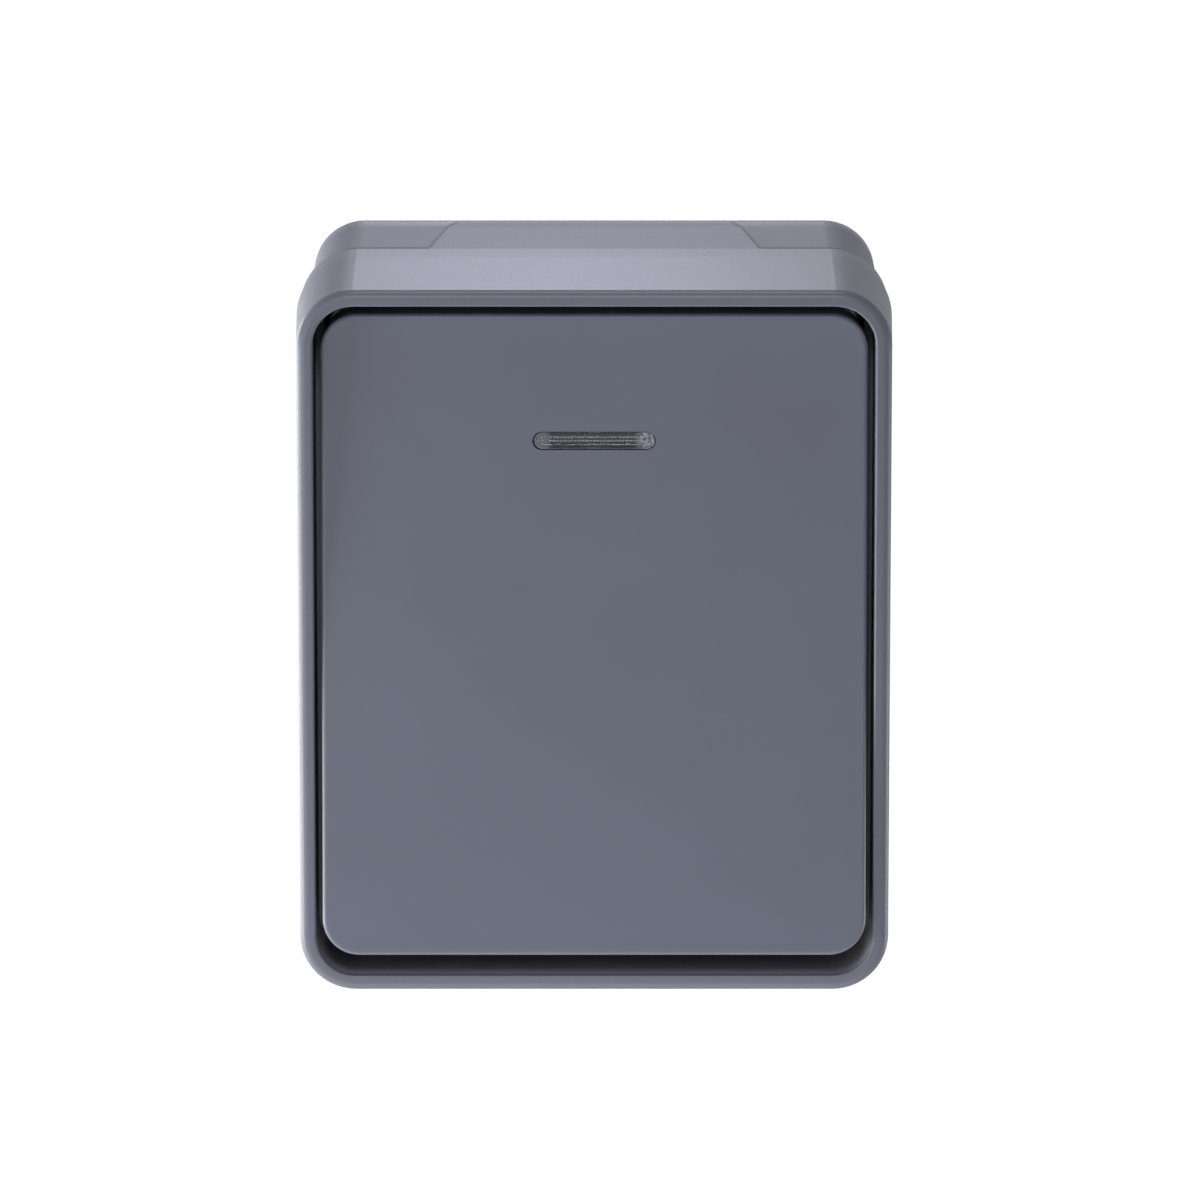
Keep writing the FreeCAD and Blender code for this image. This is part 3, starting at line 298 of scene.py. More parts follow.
def noise(tree, place, size, detail=3.0):
    """A noise texture whose blotches are about that many metres across."""
    texture = tree.nodes.new("ShaderNodeTexNoise")
    texture.inputs["Scale"].default_value = 1.0 / size
    texture.inputs["Detail"].default_value = detail
    tree.links.new(place, texture.inputs["Vector"])
    return texture.outputs["Fac"]


def between(tree, factor, low, high, start=0.3, end=0.7):
    """A number that runs from low to high as the factor runs from start to end."""
    scale = tree.nodes.new("ShaderNodeMapRange")
    scale.inputs["From Min"].default_value = start
    scale.inputs["From Max"].default_value = end
    scale.inputs["To Min"].default_value = low
    scale.inputs["To Max"].default_value = high
    tree.links.new(factor, scale.inputs["Value"])
    return scale.outputs["Result"]


# %% Tone and grain
def two_tones(tree, factor, colour, spread):
    """The colour, darker by the spread where the factor is low and lighter where it is high."""
    ramp = tree.nodes.new("ShaderNodeValToRGB")
    ramp.color_ramp.elements[0].position = 0.3
    ramp.color_ramp.elements[1].position = 0.7
    ramp.color_ramp.elements[0].color = [part * (1 - spread) for part in colour] + [1]
    ramp.color_ramp.elements[1].color = [part * (1 + spread) for part in colour] + [1]
    tree.links.new(factor, ramp.inputs["Fac"])
    return ramp.outputs["Color"]


def grain(tree, shader, height, depth):
    """Bump of that depth in metres from a height between 0 and 1."""
    bump = tree.nodes.new("ShaderNodeBump")
    bump.inputs["Distance"].default_value = depth
    bump.inputs["Strength"].default_value = 1.0
    tree.links.new(height, bump.inputs["Height"])
    tree.links.new(bump.outputs["Normal"], shader.inputs["Normal"])


# %% Plastic helper
MELT_FLOW = 22 * MM
TONE_SHIFT = 0.03
GLOSS_SHIFT = 0.05


def moulded_plastic(name, colour, rough, grain_size, grain_depth):
    """Plastic with a broad shift of tone and the fine grain of its mould."""
    material, tree, shader, place = new_material(name)
    flow = noise(tree, place, MELT_FLOW, detail=2.0)
    fine = noise(tree, place, grain_size, detail=4.0)
    tree.links.new(two_tones(tree, flow, colour, TONE_SHIFT), shader.inputs["Base Color"])
    rougher = between(tree, fine, rough - GLOSS_SHIFT, rough + GLOSS_SHIFT)
    tree.links.new(rougher, shader.inputs["Roughness"])
    shader.inputs["IOR"].default_value = 1.5
    grain(tree, shader, fine, grain_depth)
    return material


# %% [markdown]
# The greys and the inner plastics
#
# Housing and rocker are one blue grey, but come from two mouldings, and the housing's is a shade
# less blue. The rocker is polished a little finer than the cover. The wall box, which is hardly
# seen, is left coarser and so looks darker at a flat angle. Inside, the body and the dolly are a
# warm white that stands heat, and the frame is a tougher light grey, uneven from the short glass
# fibres it is filled with.

# %% Plastic finishes
HOUSING_GREY = (0.158, 0.166, 0.211)
ROCKER_GREY = (0.156, 0.170, 0.222)

housing = moulded_plastic("housing_grain", HOUSING_GREY, 0.40, 0.22 * MM, 0.004 * MM)
box_finish = moulded_plastic("box_grain", HOUSING_GREY, 0.48, 0.25 * MM, 0.006 * MM)
rocker_finish = moulded_plastic("rocker_grain", ROCKER_GREY, 0.36, 0.18 * MM, 0.003 * MM)
white_plastic = moulded_plastic("warm_white_plastic", (0.78, 0.77, 0.73), 0.40, 0.4 * MM, 0.004 * MM)
frame_plastic = moulded_plastic("fibre_filled_plastic", (0.42, 0.43, 0.45), 0.48, 0.5 * MM, 0.008 * MM)
plastics = [housing, box_finish, rocker_finish, white_plastic, frame_plastic]
print("plastics:", [finish.name for finish in plastics])

# %% [markdown]
# The wall box, zone by zone
#
# Flange and cable entry stand a little higher than the wall of the box. Where a seal or a grommet
# lies on them the mould is polished, and the wall around them is left coarse. At the flat angle of
# the photograph this small change of gloss is what tells the levels apart. The back edge is rubbed
# smooth. On the top, the foot of the step behind the flange and the foot of the entry's sides are
# made rougher and painted darker: painted shade, where the raised steps shade the wall. All of it is
# worked out from Object coordinates and the box's own measures, so no image is needed.

# %% Zones of the wall box
WALL_TOP = 44.3 * MM
WALL_ENDS = (WALL_TOP + 0.2 * MM, WALL_TOP + 0.5 * MM)
TOP_BEGINS = (WALL_TOP - 5 * MM, WALL_TOP - 2 * MM)
FLANGE_BACK = -27.1 * MM
FLANGE_ENDS = (FLANGE_BACK - 0.1 * MM, FLANGE_BACK + 0.1 * MM)
# Painted shade on the wall top behind the flange, which fades out between these depths.
SHADE_BEHIND_FLANGE = (FLANGE_BACK + 4.8 * MM, FLANGE_BACK + 6.6 * MM)
ENTRY_TAPER = 0.1395
ENTRY_HALF_WIDTH_AT_WALL = 17.12 * MM
ENTRY_EDGE = (-0.05 * MM, 0)
# How far beside the entry's sides the painted shade reaches.
SHADE_BESIDE_ENTRY = (0.6 * MM, 1.4 * MM)
# Painted shade at the foot of the steps: the colour there is multiplied by this grey.
PAINTED_STEP_SHADE = (0.50, 0.50, 0.50, 1)
SHADED_FOOT_ROUGHNESS = 0.14
COARSE_WALL = 0.035
POLISHED_FLANGE = -0.085
BACK_EDGE = (-6 * MM, -1 * MM)
RUBBED_EDGE = -0.28
# Prints where the painted shade behind the flange fades out.
print("dust thins out at", [round(1000 * depth, 1) for depth in SHADE_BEHIND_FLANGE], "mm")


# %% Changes to a finish
def replug(tree, socket, change):
    """Puts what a function makes of a socket's present source in place of that source."""
    source = socket.links[0].from_socket
    tree.links.new(change(source), socket)


def blended(tree, factor, colour, other, way="MIX"):
    """A colour that turns into another one, or is multiplied by it, as the factor rises."""
    mix = tree.nodes.new("ShaderNodeMixRGB")
    mix.blend_type = way
    mix.inputs["Color2"].default_value = other
    tree.links.new(factor, mix.inputs["Fac"])
    tree.links.new(colour, mix.inputs["Color1"])
    return mix.outputs["Color"]


# %% Finish the zones
# Painted shade: a mask that darkens the foot of the step and of the entry's sides.
def painted_shade_on_the_box(tree, wall, across, depth, height):
    """1 at the foot of the step and of the entry's sides, on the top of the wall, and 0 elsewhere."""
    aside = calculate(tree, "ABSOLUTE", across)
    outline = calculate(tree, "MULTIPLY_ADD", depth, ENTRY_TAPER, aside)
    from_entry = calculate(tree, "SUBTRACT", outline, ENTRY_HALF_WIDTH_AT_WALL)
    outside_entry = between(tree, from_entry, 0, 1, *ENTRY_EDGE)
    near_entry = between(tree, from_entry, 1, 0, *SHADE_BESIDE_ENTRY)
    beside_entry = calculate(tree, "MULTIPLY", outside_entry, near_entry)
    behind_step = between(tree, depth, 1, 0, *SHADE_BEHIND_FLANGE)
    top_wall = calculate(tree, "MULTIPLY", wall, between(tree, height, 0, 1, *TOP_BEGINS))
    return calculate(tree, "MULTIPLY", top_wall, calculate(tree, "MAXIMUM", beside_entry, behind_step))


def zone_the_box(material):
    tree = material.node_tree
    shader = tree.nodes["Principled BSDF"]
    across, depth, height = axes_of(tree, object_place(tree))
    lower = between(tree, calculate(tree, "ABSOLUTE", height), 1, 0, *WALL_ENDS)
    behind_flange = between(tree, depth, 0, 1, *FLANGE_ENDS)
    wall = calculate(tree, "MULTIPLY", lower, behind_flange)
    painted_lighting = painted_shade_on_the_box(tree, wall, across, depth, height)

    def dulled(rough):
        rough = calculate(tree, "ADD", rough, between(tree, wall, 0, COARSE_WALL, 0, 1))
        rough = calculate(tree, "ADD", rough, between(tree, behind_flange, POLISHED_FLANGE, 0, 0, 1))
        rough = calculate(tree, "ADD", rough, between(tree, depth, 0, RUBBED_EDGE, *BACK_EDGE))
        return calculate(tree, "ADD", rough, between(tree, painted_lighting, 0, SHADED_FOOT_ROUGHNESS, 0, 1))

    # Painted shade: the colour grows darker at the foot of the steps.
    def darkened(colour):
        return blended(tree, painted_lighting, colour, PAINTED_STEP_SHADE, "MULTIPLY")

    replug(tree, shader.inputs["Roughness"], dulled)
    replug(tree, shader.inputs["Base Color"], darkened)


zone_the_box(box_finish)
print("nodes in the box's finish:", len(box_finish.node_tree.nodes))

# %% [markdown]
# The rim's inner wall: dust and painted fill light
#
# The inner side of the rim round the rocker is painted paler and warmer than the plastic, most of
# all below the rocker, where that side faces up. This is dust that settles there, and painted fill
# light that stands in for light getting into the deep gap. That is why the gap there looks dark
# grey and not black. The distance to the wall of the well, with its rounded corners, tells the
# shader which points of the cover belong to it.

# %% Dust and painted fill light on the rim
WELL_HALF_WIDTH = 35.0 * MM
WELL_HALF_HEIGHT = 42.8 * MM
WELL_CORNER = 5.0 * MM
WALL_REACH = (0.4 * MM, 0.6 * MM)
BEHIND_ROUNDING = (-54.6 * MM, -54.2 * MM)
DUST_AND_FILL_THINS_FROM_TO = (-41 * MM, -34 * MM)
# How strongly the rim's inner wall is painted paler below and beside the rocker: dust and painted fill
# light.
DUST_AND_FILL_BELOW = 0.95
DUST_AND_FILL_BESIDE = 0.50
# The paler colour of the inner wall: dust together with painted fill light in the gap.
DUST_AND_FILL_LIGHT_COLOUR = (0.38, 0.37, 0.41, 1)


def distance_to_well(tree, across, height):
    """How far a point lies from the wall of the well, whose corners are rounded."""
    def square_past(axis, half):
        beyond = calculate(tree, "SUBTRACT", calculate(tree, "ABSOLUTE", axis), half - WELL_CORNER)
        return calculate(tree, "POWER", calculate(tree, "MAXIMUM", beyond, 0.0), 2.0)

    sideways = square_past(across, WELL_HALF_WIDTH)
    upwards = square_past(height, WELL_HALF_HEIGHT)
    squares = calculate(tree, "ADD", sideways, upwards)
    from_wall = calculate(tree, "SUBTRACT", calculate(tree, "SQRT", squares), WELL_CORNER)
    return calculate(tree, "ABSOLUTE", from_wall)


# Paints the rim's inner wall paler: dust, and painted fill light where little light gets into the gap.
def dust_and_light_the_rim(material):
    tree = material.node_tree
    across, depth, height = axes_of(tree, object_place(tree))
    on_wall = between(tree, distance_to_well(tree, across, height), 1, 0, *WALL_REACH)
    inside = calculate(tree, "MULTIPLY", on_wall, between(tree, depth, 0, 1, *BEHIND_ROUNDING))
    settled_and_filled = between(tree, height, DUST_AND_FILL_BELOW, DUST_AND_FILL_BESIDE, *DUST_AND_FILL_THINS_FROM_TO)
    painted_lighting = calculate(tree, "MULTIPLY", inside, settled_and_filled)

    # Dust and painted fill light: the colour turns paler on the inner wall of the rim.
    def dusted_and_lit(colour):
        return blended(tree, painted_lighting, colour, DUST_AND_FILL_LIGHT_COLOUR)

    replug(tree, tree.nodes["Principled BSDF"].inputs["Base Color"], dusted_and_lit)


dust_and_light_the_rim(housing)
print("nodes in the cover's finish:", len(housing.node_tree.nodes))

# %% [markdown]
# Rubber
#
# The gasket, the frame seal and the rings under the screw heads are black sealing rubber: dull, with
# a dusty bloom that makes it uneven. The bloom is a noise in the roughness and in the tone.

# %% Rubber finish
RUBBER_BLACK = (0.022, 0.022, 0.024)
BLOOM_SIZE = 3 * MM
BLOOM_SHIFT = 0.35
SKIN_SIZE = 0.3 * MM
SKIN_DEPTH = 0.01 * MM


def sealing_rubber():
    material, tree, shader, place = new_material("sealing_rubber")
    bloom = noise(tree, place, BLOOM_SIZE)
    skin = noise(tree, place, SKIN_SIZE)
    tree.links.new(two_tones(tree, bloom, RUBBER_BLACK, BLOOM_SHIFT), shader.inputs["Base Color"])
    tree.links.new(between(tree, bloom, 0.62, 0.82), shader.inputs["Roughness"])
    grain(tree, shader, skin, SKIN_DEPTH)
    return material


rubber = sealing_rubber()
print("rubber:", rubber.name)

# %% [markdown]
# Metals
#
# The metals inside are zinc plated steel, stamped brass, a bronze strip, silver contact faces and
# tinned wire. All take one helper. A stretched noise gives the faint lines of drawing and stamping,
# and a broad one lets the tarnish wander.

# %% Metal finishes
LINE_STRETCH = (1.0, 1.0, 9.0)
LINE_SIZE = 0.5 * MM
LINE_DEPTH = 0.002 * MM
LINE_GLOSS_SHIFT = 0.08
TARNISH_SIZE = 4 * MM


def drawn_metal(name, colour, rough, tarnish):
    material, tree, shader, place = new_material(name)
    stretch = tree.nodes.new("ShaderNodeMapping")
    stretch.inputs["Scale"].default_value = LINE_STRETCH
    tree.links.new(place, stretch.inputs["Vector"])
    lines = noise(tree, stretch.outputs["Vector"], LINE_SIZE)
    blotch = noise(tree, place, TARNISH_SIZE)
    tree.links.new(two_tones(tree, blotch, colour, tarnish), shader.inputs["Base Color"])
    rougher = between(tree, lines, rough - LINE_GLOSS_SHIFT, rough + LINE_GLOSS_SHIFT)
    tree.links.new(rougher, shader.inputs["Roughness"])
    shader.inputs["Metallic"].default_value = 1.0
    grain(tree, shader, lines, LINE_DEPTH)
    return material


steel = drawn_metal("zinc_plated_steel", (0.62, 0.63, 0.64), 0.34, 0.06)
brass = drawn_metal("stamped_brass", (0.74, 0.56, 0.26), 0.30, 0.10)
bronze = drawn_metal("bronze_strip", (0.72, 0.42, 0.26), 0.32, 0.12)
silver = drawn_metal("silver_contact", (0.86, 0.85, 0.82), 0.22, 0.05)
tinned = drawn_metal("tinned_wire", (0.70, 0.70, 0.71), 0.28, 0.06)
print("metals:", [metal.name for metal in (steel, brass, bronze, silver, tinned)])

# %% [markdown]
# Clear plastic, the lamp and the resistor
#
# The lens is clear moulded plastic, and the lamp is a small dome of it with a faint orange tint. The
# ends of the lens are milky, as where a mould is filled and where the melt meets, and the right one
# is uneven. So there a part of its clearness is taken away, along X. The resistor is a lacquered
# ceramic rod with colour rings. They sit at fixed places along its length, so a ramp without
# blending paints them by the X of the Object coordinates.

# %% Clear finishes
LENS_TINT = (0.48, 0.49, 0.57)
LAMP_TINT = (0.99, 0.93, 0.88)
HAZE_SIZE = 1.5 * MM
HAZE = 0.03


def clear_material(name, tint, ior, rough):
    material, tree, shader, place = new_material(name)
    haze = noise(tree, place, HAZE_SIZE)
    tree.links.new(between(tree, haze, rough, rough + HAZE), shader.inputs["Roughness"])
    shader.inputs["Base Color"].default_value = (*tint, 1)
    shader.inputs["Transmission Weight"].default_value = 1.0
    shader.inputs["IOR"].default_value = ior
    return material


clear_lens = clear_material("clear_lens", LENS_TINT, ior=1.49, rough=0.01)
lamp_glass = clear_material("lamp_glass", LAMP_TINT, ior=1.50, rough=0.01)
print("clear:", clear_lens.name, lamp_glass.name)

# %% Frost the ends of the lens
CLEAR = 0.96
MILKY = 0.70
LEFT_END = (-6.0 * MM, -5.3 * MM)
RIGHT_END = (5.0 * MM, 6.0 * MM)
LOST_IN_STREAKS = (-0.75, -0.10)
STREAK_SIZE = 0.4 * MM
STREAK_EDGES = (0.38, 0.62)


def frost_the_ends(material):
    """Makes the clear lens milky at its left end and streaky at its right end."""
    tree = material.node_tree
    place = object_place(tree)
    across = axes_of(tree, place)[0]
    from_left = between(tree, across, MILKY, CLEAR, *LEFT_END)
    to_right = between(tree, across, 0, 1, *RIGHT_END)
    streaks = between(tree, noise(tree, place, STREAK_SIZE), *LOST_IN_STREAKS, *STREAK_EDGES)
    clearness = calculate(tree, "MULTIPLY_ADD", to_right, streaks, from_left)
    tree.links.new(clearness, tree.nodes["Principled BSDF"].inputs["Transmission Weight"])


frost_the_ends(clear_lens)
print("nodes in the lens's finish:", len(clear_lens.node_tree.nodes))

# %% Paint the resistor
RESISTOR_FROM = -10.235 * MM
RESISTOR_TO = -4.035 * MM
LACQUER = (0.58, 0.42, 0.24)
RED = (0.45, 0.02, 0.02)
YELLOW = (0.75, 0.55, 0.03)
GOLD = (0.55, 0.36, 0.08)
RINGS = ((0.15, RED), (0.30, RED), (0.45, YELLOW), (0.76, GOLD))
RING_WIDTH = 0.07


def ringed_resistor():
    material, tree, shader, place = new_material("ringed_resistor")
    along = axes_of(tree, place)[0]
    ramp = tree.nodes.new("ShaderNodeValToRGB")
    ramp.color_ramp.interpolation = "CONSTANT"
    ramp.color_ramp.elements[0].color = (*LACQUER, 1)
    ramp.color_ramp.elements.remove(ramp.color_ramp.elements[1])
    for start, colour in RINGS:
        ramp.color_ramp.elements.new(start).color = (*colour, 1)
        ramp.color_ramp.elements.new(start + RING_WIDTH).color = (*LACQUER, 1)
    tree.links.new(between(tree, along, 0, 1, RESISTOR_FROM, RESISTOR_TO), ramp.inputs["Fac"])
    tree.links.new(ramp.outputs["Color"], shader.inputs["Base Color"])
    tree.links.new(between(tree, noise(tree, place, 1 * MM), 0.25, 0.40), shader.inputs["Roughness"])
    return material


resistor_finish = ringed_resistor()
print("rings:", len(RINGS))

# %% [markdown]
# The indicator lens
#
# The lens is one clear moulding: a flange that lies behind the rocker's skin, and a window that
# fills the slot. Its back has a field of small pyramids, about half a millimetre apart, which hide
# the lamp and throw light back as a reflector does, so the window glitters. A bump texture on the
# front could fake them, but it would not turn the light back inside the plastic. So a grid is poked,
# which raises each of its squares to a point, and this field is pressed into the back of the lens
# as pits. The field sits one row high, which leaves the clear band along the bottom of the window.
# Towards its ends the window is milky.

# %% Lens sizes
HINGE = Vector((0, -42.5, 0)) * MM
REST_TILT = math.radians(4.0)
LENS_HEIGHT_ABOVE_CENTRE = 24.65 * MM
ROCKER_FACE = -54.5 * MM
ROCKER_INSIDE = -52.3 * MM
WINDOW_LENGTH = 15.10 * MM
WINDOW_WIDTH = 2.06 * MM
WINDOW_SHIFT = Vector((0.07, 0, 0.04)) * MM
WINDOW_EDGE = 0.10 * MM
WINDOW_RECESS = 0.06 * MM
WINDOW_ROOT = 0.4 * MM
LENS_FLANGE = Vector((18.4, 1.2, 5.2)) * MM
LENS_FLANGE_CORNER = 1.0 * MM
PYRAMID_PITCH = 0.457 * MM
PYRAMID_RISE = 0.22 * MM
PYRAMID_COLUMNS = 33
PYRAMID_ROWS = 5
STAMP_SINK = 0.01 * MM
STAMP_THICKNESS = 0.5 * MM
print("pyramids:", PYRAMID_COLUMNS * PYRAMID_ROWS)


# %% Lens helpers
def pick(piece, mode, wanted):
    """Selects the faces, edges or points of a piece, in edit mode, that pass a test."""
    bpy.ops.object.mode_set(mode="EDIT")
    bpy.ops.mesh.select_mode(type=mode)
    bpy.ops.mesh.select_all(action="DESELECT")
    bpy.ops.object.mode_set(mode="OBJECT")
    parts = {"FACE": piece.data.polygons, "EDGE": piece.data.edges, "VERT": piece.data.vertices}
    for part in parts[mode]:
        part.select = wanted(part)
    bpy.ops.object.mode_set(mode="EDIT")


def runs_back(piece):
    """A test for the edges that run straight from the front to the back."""
    points = piece.data.vertices

    def test(edge):
        first, last = [points[index].co for index in edge.vertices]
        return abs(first.x - last.x) + abs(first.z - last.z) < 1e-7
    return test


def rounded_block(name, centre, size, radius, segments):
    """A block whose four edges from front to back are rounded."""
    deselect_all()
    bpy.ops.mesh.primitive_cube_add(size=1, location=centre, scale=size)
    block = bpy.context.active_object
    block.name = name
    bpy.ops.object.transform_apply(location=True, rotation=True, scale=True)
    pick(block, "EDGE", runs_back(block))
    bpy.ops.mesh.bevel(offset=radius, segments=segments, affect="EDGES")
    bpy.ops.mesh.select_all(action="SELECT")
    bpy.ops.mesh.remove_doubles(threshold=0.002 * MM)
    bpy.ops.object.mode_set(mode="OBJECT")
    return block


def combine(piece, other, operation):
    """Cuts, joins or trims a piece with another one, which is used up."""
    make_active(piece)
    change = piece.modifiers.new(operation.lower(), "BOOLEAN")
    change.operation = operation
    change.solver = "EXACT"
    change.object = other
    bpy.ops.object.modifier_apply(modifier=change.name)
    bpy.data.objects.remove(other)


# %% Mould the lens
def pyramid_stamp():
    """A block with a face of pyramids towards the user, which leaves pits in the back of the lens."""
    deselect_all()
    lens_back = ROCKER_INSIDE + LENS_FLANGE.y
    place = (0, lens_back - STAMP_SINK, LENS_HEIGHT_ABOVE_CENTRE + PYRAMID_PITCH)
    bpy.ops.mesh.primitive_grid_add(
        x_subdivisions=PYRAMID_COLUMNS,
        y_subdivisions=PYRAMID_ROWS,
        size=1,
        location=place,
        rotation=(math.radians(90), 0, 0),
    )
    stamp = bpy.context.active_object
    stamp.name = "pyramid_stamp"
    stamp.scale = (PYRAMID_COLUMNS * PYRAMID_PITCH, PYRAMID_ROWS * PYRAMID_PITCH, 1)
    bpy.ops.object.transform_apply(location=True, rotation=True, scale=True)
    bpy.ops.object.mode_set(mode="EDIT")
    bpy.ops.mesh.select_all(action="SELECT")
    bpy.ops.mesh.extrude_region_move(TRANSFORM_OT_translate={"value": (0, STAMP_THICKNESS, 0)})
    bpy.ops.mesh.select_all(action="SELECT")
    bpy.ops.mesh.normals_make_consistent(inside=False)
    pick(stamp, "FACE", lambda face: face.center.y < place[1] + STAMP_SINK)
    bpy.ops.mesh.poke(offset=PYRAMID_RISE)
    bpy.ops.object.mode_set(mode="OBJECT")
    return stamp


def tip_with_rocker(piece):
    """Turns a piece drawn level about the hinge, so that it lies as the rocker does at rest."""
    make_active(piece)
    bpy.ops.object.mode_set(mode="EDIT")
    bpy.ops.mesh.select_all(action="SELECT")
    bpy.ops.transform.rotate(value=REST_TILT, orient_axis="X", center_override=HINGE)
    bpy.ops.object.mode_set(mode="OBJECT")


def window_block():
    """The part of the lens that fills the slot, with a small chamfer round its face."""
    back = ROCKER_INSIDE + WINDOW_ROOT
    front = ROCKER_FACE + WINDOW_RECESS
    centre = Vector((0, (front + back) / 2, LENS_HEIGHT_ABOVE_CENTRE)) + WINDOW_SHIFT
    size = (WINDOW_LENGTH, back - front, WINDOW_WIDTH)
    window = rounded_block("lens_moulding", centre, size, WINDOW_WIDTH / 2, segments=12)
    pick(window, "FACE", lambda face: face.normal.y < -0.9)
    bpy.ops.mesh.inset(thickness=WINDOW_EDGE)
    bpy.ops.transform.translate(value=(0, -WINDOW_EDGE / 2, 0))
    bpy.ops.object.mode_set(mode="OBJECT")
    return window


def mould_lens():
    lens = window_block()
    centre = Vector((0, ROCKER_INSIDE + LENS_FLANGE.y / 2, LENS_HEIGHT_ABOVE_CENTRE))
    flange = rounded_block("lens_flange", centre, LENS_FLANGE, LENS_FLANGE_CORNER, segments=4)
    combine(lens, flange, "UNION")
    combine(lens, pyramid_stamp(), "DIFFERENCE")
    tip_with_rocker(lens)
    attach(lens, "rocker")
    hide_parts("indicator_lens")
    return lens


lens = mould_lens()
lens_points = [point.co for point in lens.data.vertices]
print("lens from", [round(1000 * min(point[axis] for point in lens_points), 2) for axis in range(3)])
print("lens to", [round(1000 * max(point[axis] for point in lens_points), 2) for axis in range(3)])

# %% [markdown]
# The lamp's lead frame
#
# Inside the clear dome stand two small metal posts. The broad one carries a cup, in which the chip
# sits, and the narrow one takes the bond wire. They could be left out, because the lens hides them,
# but they are what makes a clear dome look like a lamp once the rocker is taken off. The posts are
# blocks. The cup is a cone whose wide end is inset and pushed in, which leaves a wall of even
# thickness, as a pressed cup has.

# %% Stamp the lead frame
LAMP_SEAT = -40.0 * MM
BROAD_POST = Vector((2.1, 2.6, 0.5)) * MM
BROAD_POST_MIDDLE = (0.35 * MM, LAMP_SEAT - 1.3 * MM, LENS_HEIGHT_ABOVE_CENTRE)
NARROW_POST = Vector((0.55, 3.0, 0.5)) * MM
NARROW_POST_MIDDLE = (-1.27 * MM, LAMP_SEAT - 1.5 * MM, LENS_HEIGHT_ABOVE_CENTRE)
POST_ROUNDING = 0.12 * MM
CUP_MIDDLE = (0, LAMP_SEAT - 2.65 * MM, LENS_HEIGHT_ABOVE_CENTRE)
CUP_RADIUS = 0.75 * MM
CUP_FOOT_RADIUS = 0.5 * MM
CUP_HEIGHT = 0.6 * MM
CUP_WALL = 0.09 * MM
CUP_HOLLOW = 0.42 * MM
CUP_NARROWS_TO = 0.65


def lamp_cup():
    deselect_all()
    bpy.ops.mesh.primitive_cone_add(
        vertices=32,
        radius1=CUP_RADIUS,
        radius2=CUP_FOOT_RADIUS,
        depth=CUP_HEIGHT,
        location=CUP_MIDDLE,
        rotation=(math.radians(90), 0, 0),
    )
    cup = bpy.context.active_object
    bpy.ops.object.transform_apply(location=True, rotation=True, scale=True)
    pick(cup, "FACE", lambda face: face.normal.y < -0.9)
    bpy.ops.mesh.inset(thickness=CUP_WALL)
    bpy.ops.mesh.extrude_region_move(TRANSFORM_OT_translate={"value": (0, CUP_HOLLOW, 0)})
    bpy.ops.transform.resize(value=(CUP_NARROWS_TO, 1, CUP_NARROWS_TO))
    bpy.ops.object.mode_set(mode="OBJECT")
    return cup


def stamp_lead_frame():
    frame_piece = rounded_block("lamp_lead_frame", BROAD_POST_MIDDLE, BROAD_POST, POST_ROUNDING, segments=3)
    post = rounded_block("narrow_post", NARROW_POST_MIDDLE, NARROW_POST, POST_ROUNDING, segments=3)
    combine(frame_piece, post, "UNION")
    combine(frame_piece, lamp_cup(), "UNION")
    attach(frame_piece, "housing")
    return frame_piece


lamp_frame = stamp_lead_frame()
print("lead frame faces:", len(lamp_frame.data.polygons))

# %% [markdown]
# Screw threads
#
# The CAD model keeps its screws plain, because a thread there is slow and hardly ever needed. Real
# ones bite into the plastic with a coarse thread, and into the brass with a fine one. A bump pattern
# would only colour a smooth rod, and the outline would stay straight. So a merged copy of the plain
# screws gets a thinner core, and a ridge is wound round it: a triangle turned by the Screw modifier,
# which climbs by one pitch in each turn. The crest keeps the plain screw's diameter.

# %% Screw sizes
COVER_SCREW_AXES = ((30.3, 38.1), (-30.3, 38.1), (30.3, -38.1), (-30.3, -38.1))
SCREWS = {
    # node: axes as (x, z), seat and tip of the shank, crest and core radius, pitch, plain length, all in mm
    "cover_screws": (COVER_SCREW_AXES, -39.0, -22.0, 1.75, 1.30, 1.30, 4.0),
    "mechanism_screws": (((23.5, 0), (-23.5, 0)), -36.5, -28.5, 1.45, 1.08, 1.10, 1.5),
    "terminal_screws": (((-13, 12), (13, 12), (13, -12)), -25.6, -22.2, 1.50, 1.22, 0.50, 0.3),
}
THREAD_STEPS = 24
SUNK_IN_CORE = 0.05 * MM
# A triangle drawn with a radius of 1 is 1.5 high. Stretched by 0.48 pitches, it leaves a narrow
# flat between two turns.
TRIANGLE_HEIGHT = 1.5
THREAD_STRETCH = 0.48
print("screws with a thread:", sum(len(sizes[0]) for sizes in SCREWS.values()))


# %% Cut the threads
def merged_copy(node_name):
    """A copy of a carried-over piece with its loose triangles joined."""
    piece = nodes[node_name].copy()
    piece.data = nodes[node_name].data.copy()
    piece.name = node_name + "_threaded"
    bpy.context.scene.collection.objects.link(piece)
    make_active(piece)
    bpy.ops.object.mode_set(mode="EDIT")
    bpy.ops.mesh.select_all(action="SELECT")
    bpy.ops.mesh.remove_doubles(threshold=0.001 * MM)
    bpy.ops.object.mode_set(mode="OBJECT")
    return piece


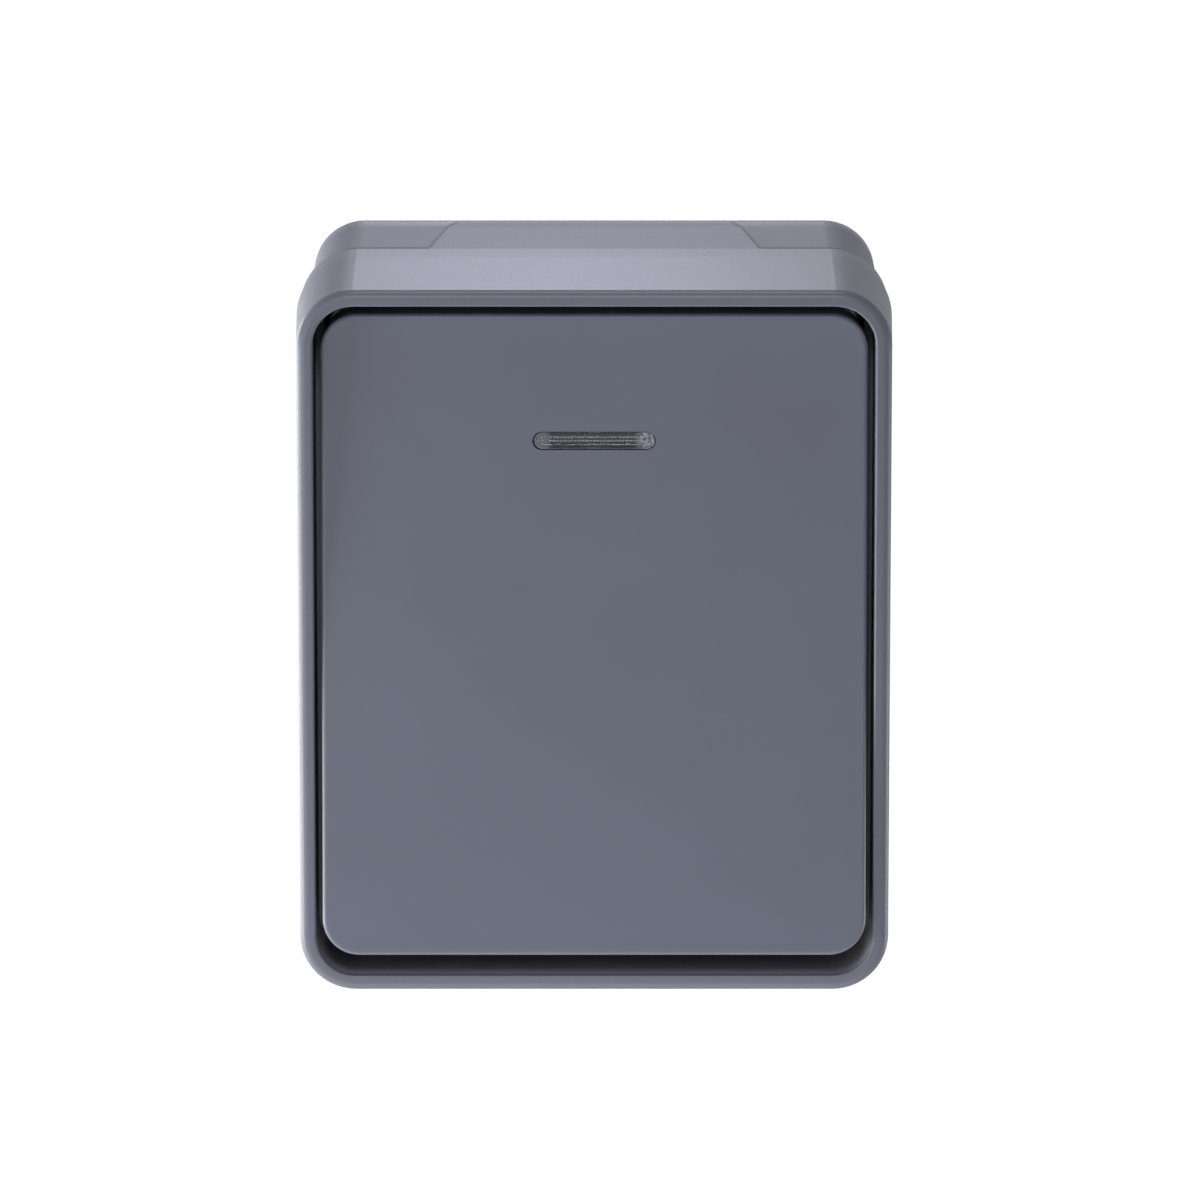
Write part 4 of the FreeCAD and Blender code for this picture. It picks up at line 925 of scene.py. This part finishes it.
def thread_ridge(crest, core, pitch, start, length):
    """A closed helical ridge round the Y axis, from its start towards the wall."""
    deselect_all()
    foot = core - SUNK_IN_CORE
    bpy.ops.mesh.primitive_circle_add(
        vertices=3,
        radius=1,
        location=(foot + (crest - foot) / 3, start, 0),
        rotation=(0, 0, math.radians(-90)),
    )
    ridge = bpy.context.active_object
    ridge.scale = (THREAD_STRETCH * pitch, (crest - foot) / TRIANGLE_HEIGHT, 1)
    bpy.ops.object.transform_apply(location=True, rotation=True, scale=True)
    wind = ridge.modifiers.new("wind", "SCREW")
    wind.axis = "Y"
    wind.screw_offset = pitch
    wind.iterations = math.floor(length / pitch)
    wind.steps = wind.render_steps = THREAD_STEPS
    bpy.ops.object.modifier_apply(modifier=wind.name)
    bpy.ops.object.mode_set(mode="EDIT")
    bpy.ops.mesh.select_all(action="SELECT")
    bpy.ops.mesh.fill_holes(sides=3)
    bpy.ops.mesh.normals_make_consistent(inside=False)
    bpy.ops.object.mode_set(mode="OBJECT")
    return ridge


def on_shank(axis, seat, crest):
    """A test for the points of one screw that lie on its shank."""
    def test(point):
        aside = math.hypot(point.co.x - axis.x, point.co.z - axis.z)
        return point.co.y > seat - 0.01 * MM and aside < crest + 0.02 * MM
    return test


def thread_screws(node_name, axes, seat, tip, crest, core, pitch, plain):
    seat, tip, crest, core, pitch, plain = [value * MM for value in (seat, tip, crest, core, pitch, plain)]
    screws = merged_copy(node_name)
    ridge = thread_ridge(crest, core, pitch, seat + plain + pitch / 2, tip - seat - plain - pitch)
    turns = []
    for x, z in axes:
        axis = Vector((x, 0, z)) * MM
        make_active(screws)
        pick(screws, "VERT", on_shank(axis, seat, crest))
        bpy.ops.transform.resize(value=(core / crest, 1, core / crest), center_override=axis)
        bpy.ops.object.mode_set(mode="OBJECT")
        turn = ridge.copy()
        turn.data = ridge.data.copy()
        turn.location = axis
        bpy.context.scene.collection.objects.link(turn)
        turns.append(turn)
    bpy.data.objects.remove(ridge)
    deselect_all()
    for turn in turns:
        turn.select_set(True)
    bpy.context.view_layer.objects.active = turns[0]
    bpy.ops.object.transform_apply(location=True, rotation=True, scale=True)
    screws.select_set(True)
    bpy.context.view_layer.objects.active = screws
    bpy.ops.object.join()
    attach(screws, "housing")
    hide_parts(node_name)
    return screws


threaded = [thread_screws(node_name, *sizes) for node_name, sizes in SCREWS.items()]
print("threaded screws:", {piece.name: len(piece.data.polygons) for piece in threaded})

# %% [markdown]
# Every carried-over piece takes a finish
#
# One table says which finish belongs to which piece. A piece that is missing from it would show up
# in the printed list.

# %% Assign the finishes
FINISHES = {
    "rear_box": box_finish,
    "front_cover": housing,
    "rocker": rocker_finish,
    "box_gasket": rubber,
    "cover_screw_seals": rubber,
    "frame_seal": rubber,
    "cover_screws": steel,
    "mechanism_screws": steel,
    "terminal_screws": steel,
    "plunger_spring": steel,
    "switch_body": white_plastic,
    "dolly": white_plastic,
    "mechanism_frame": frame_plastic,
    "lamp_holder": frame_plastic,
    "common_terminal": brass,
    "upper_terminal": brass,
    "lower_terminal": brass,
    "terminal_pillars": brass,
    "plunger": brass,
    "contact_bar": bronze,
    "fixed_contacts": silver,
    "moving_contacts": silver,
    "indicator_lens": clear_lens,
    "indicator_lamp": lamp_glass,
    "lamp_resistor": resistor_finish,
    "lamp_leads": tinned,
}

for node_name, finish in FINISHES.items():
    piece = nodes[node_name]
    piece.data.materials.clear()
    piece.data.materials.append(finish)
lens.data.materials.append(clear_lens)
lamp_frame.data.materials.append(tinned)
for piece in threaded:
    piece.data.materials.clear()
    piece.data.materials.append(steel)
print("without a finish:", sorted(set(nodes) - set(FINISHES)))
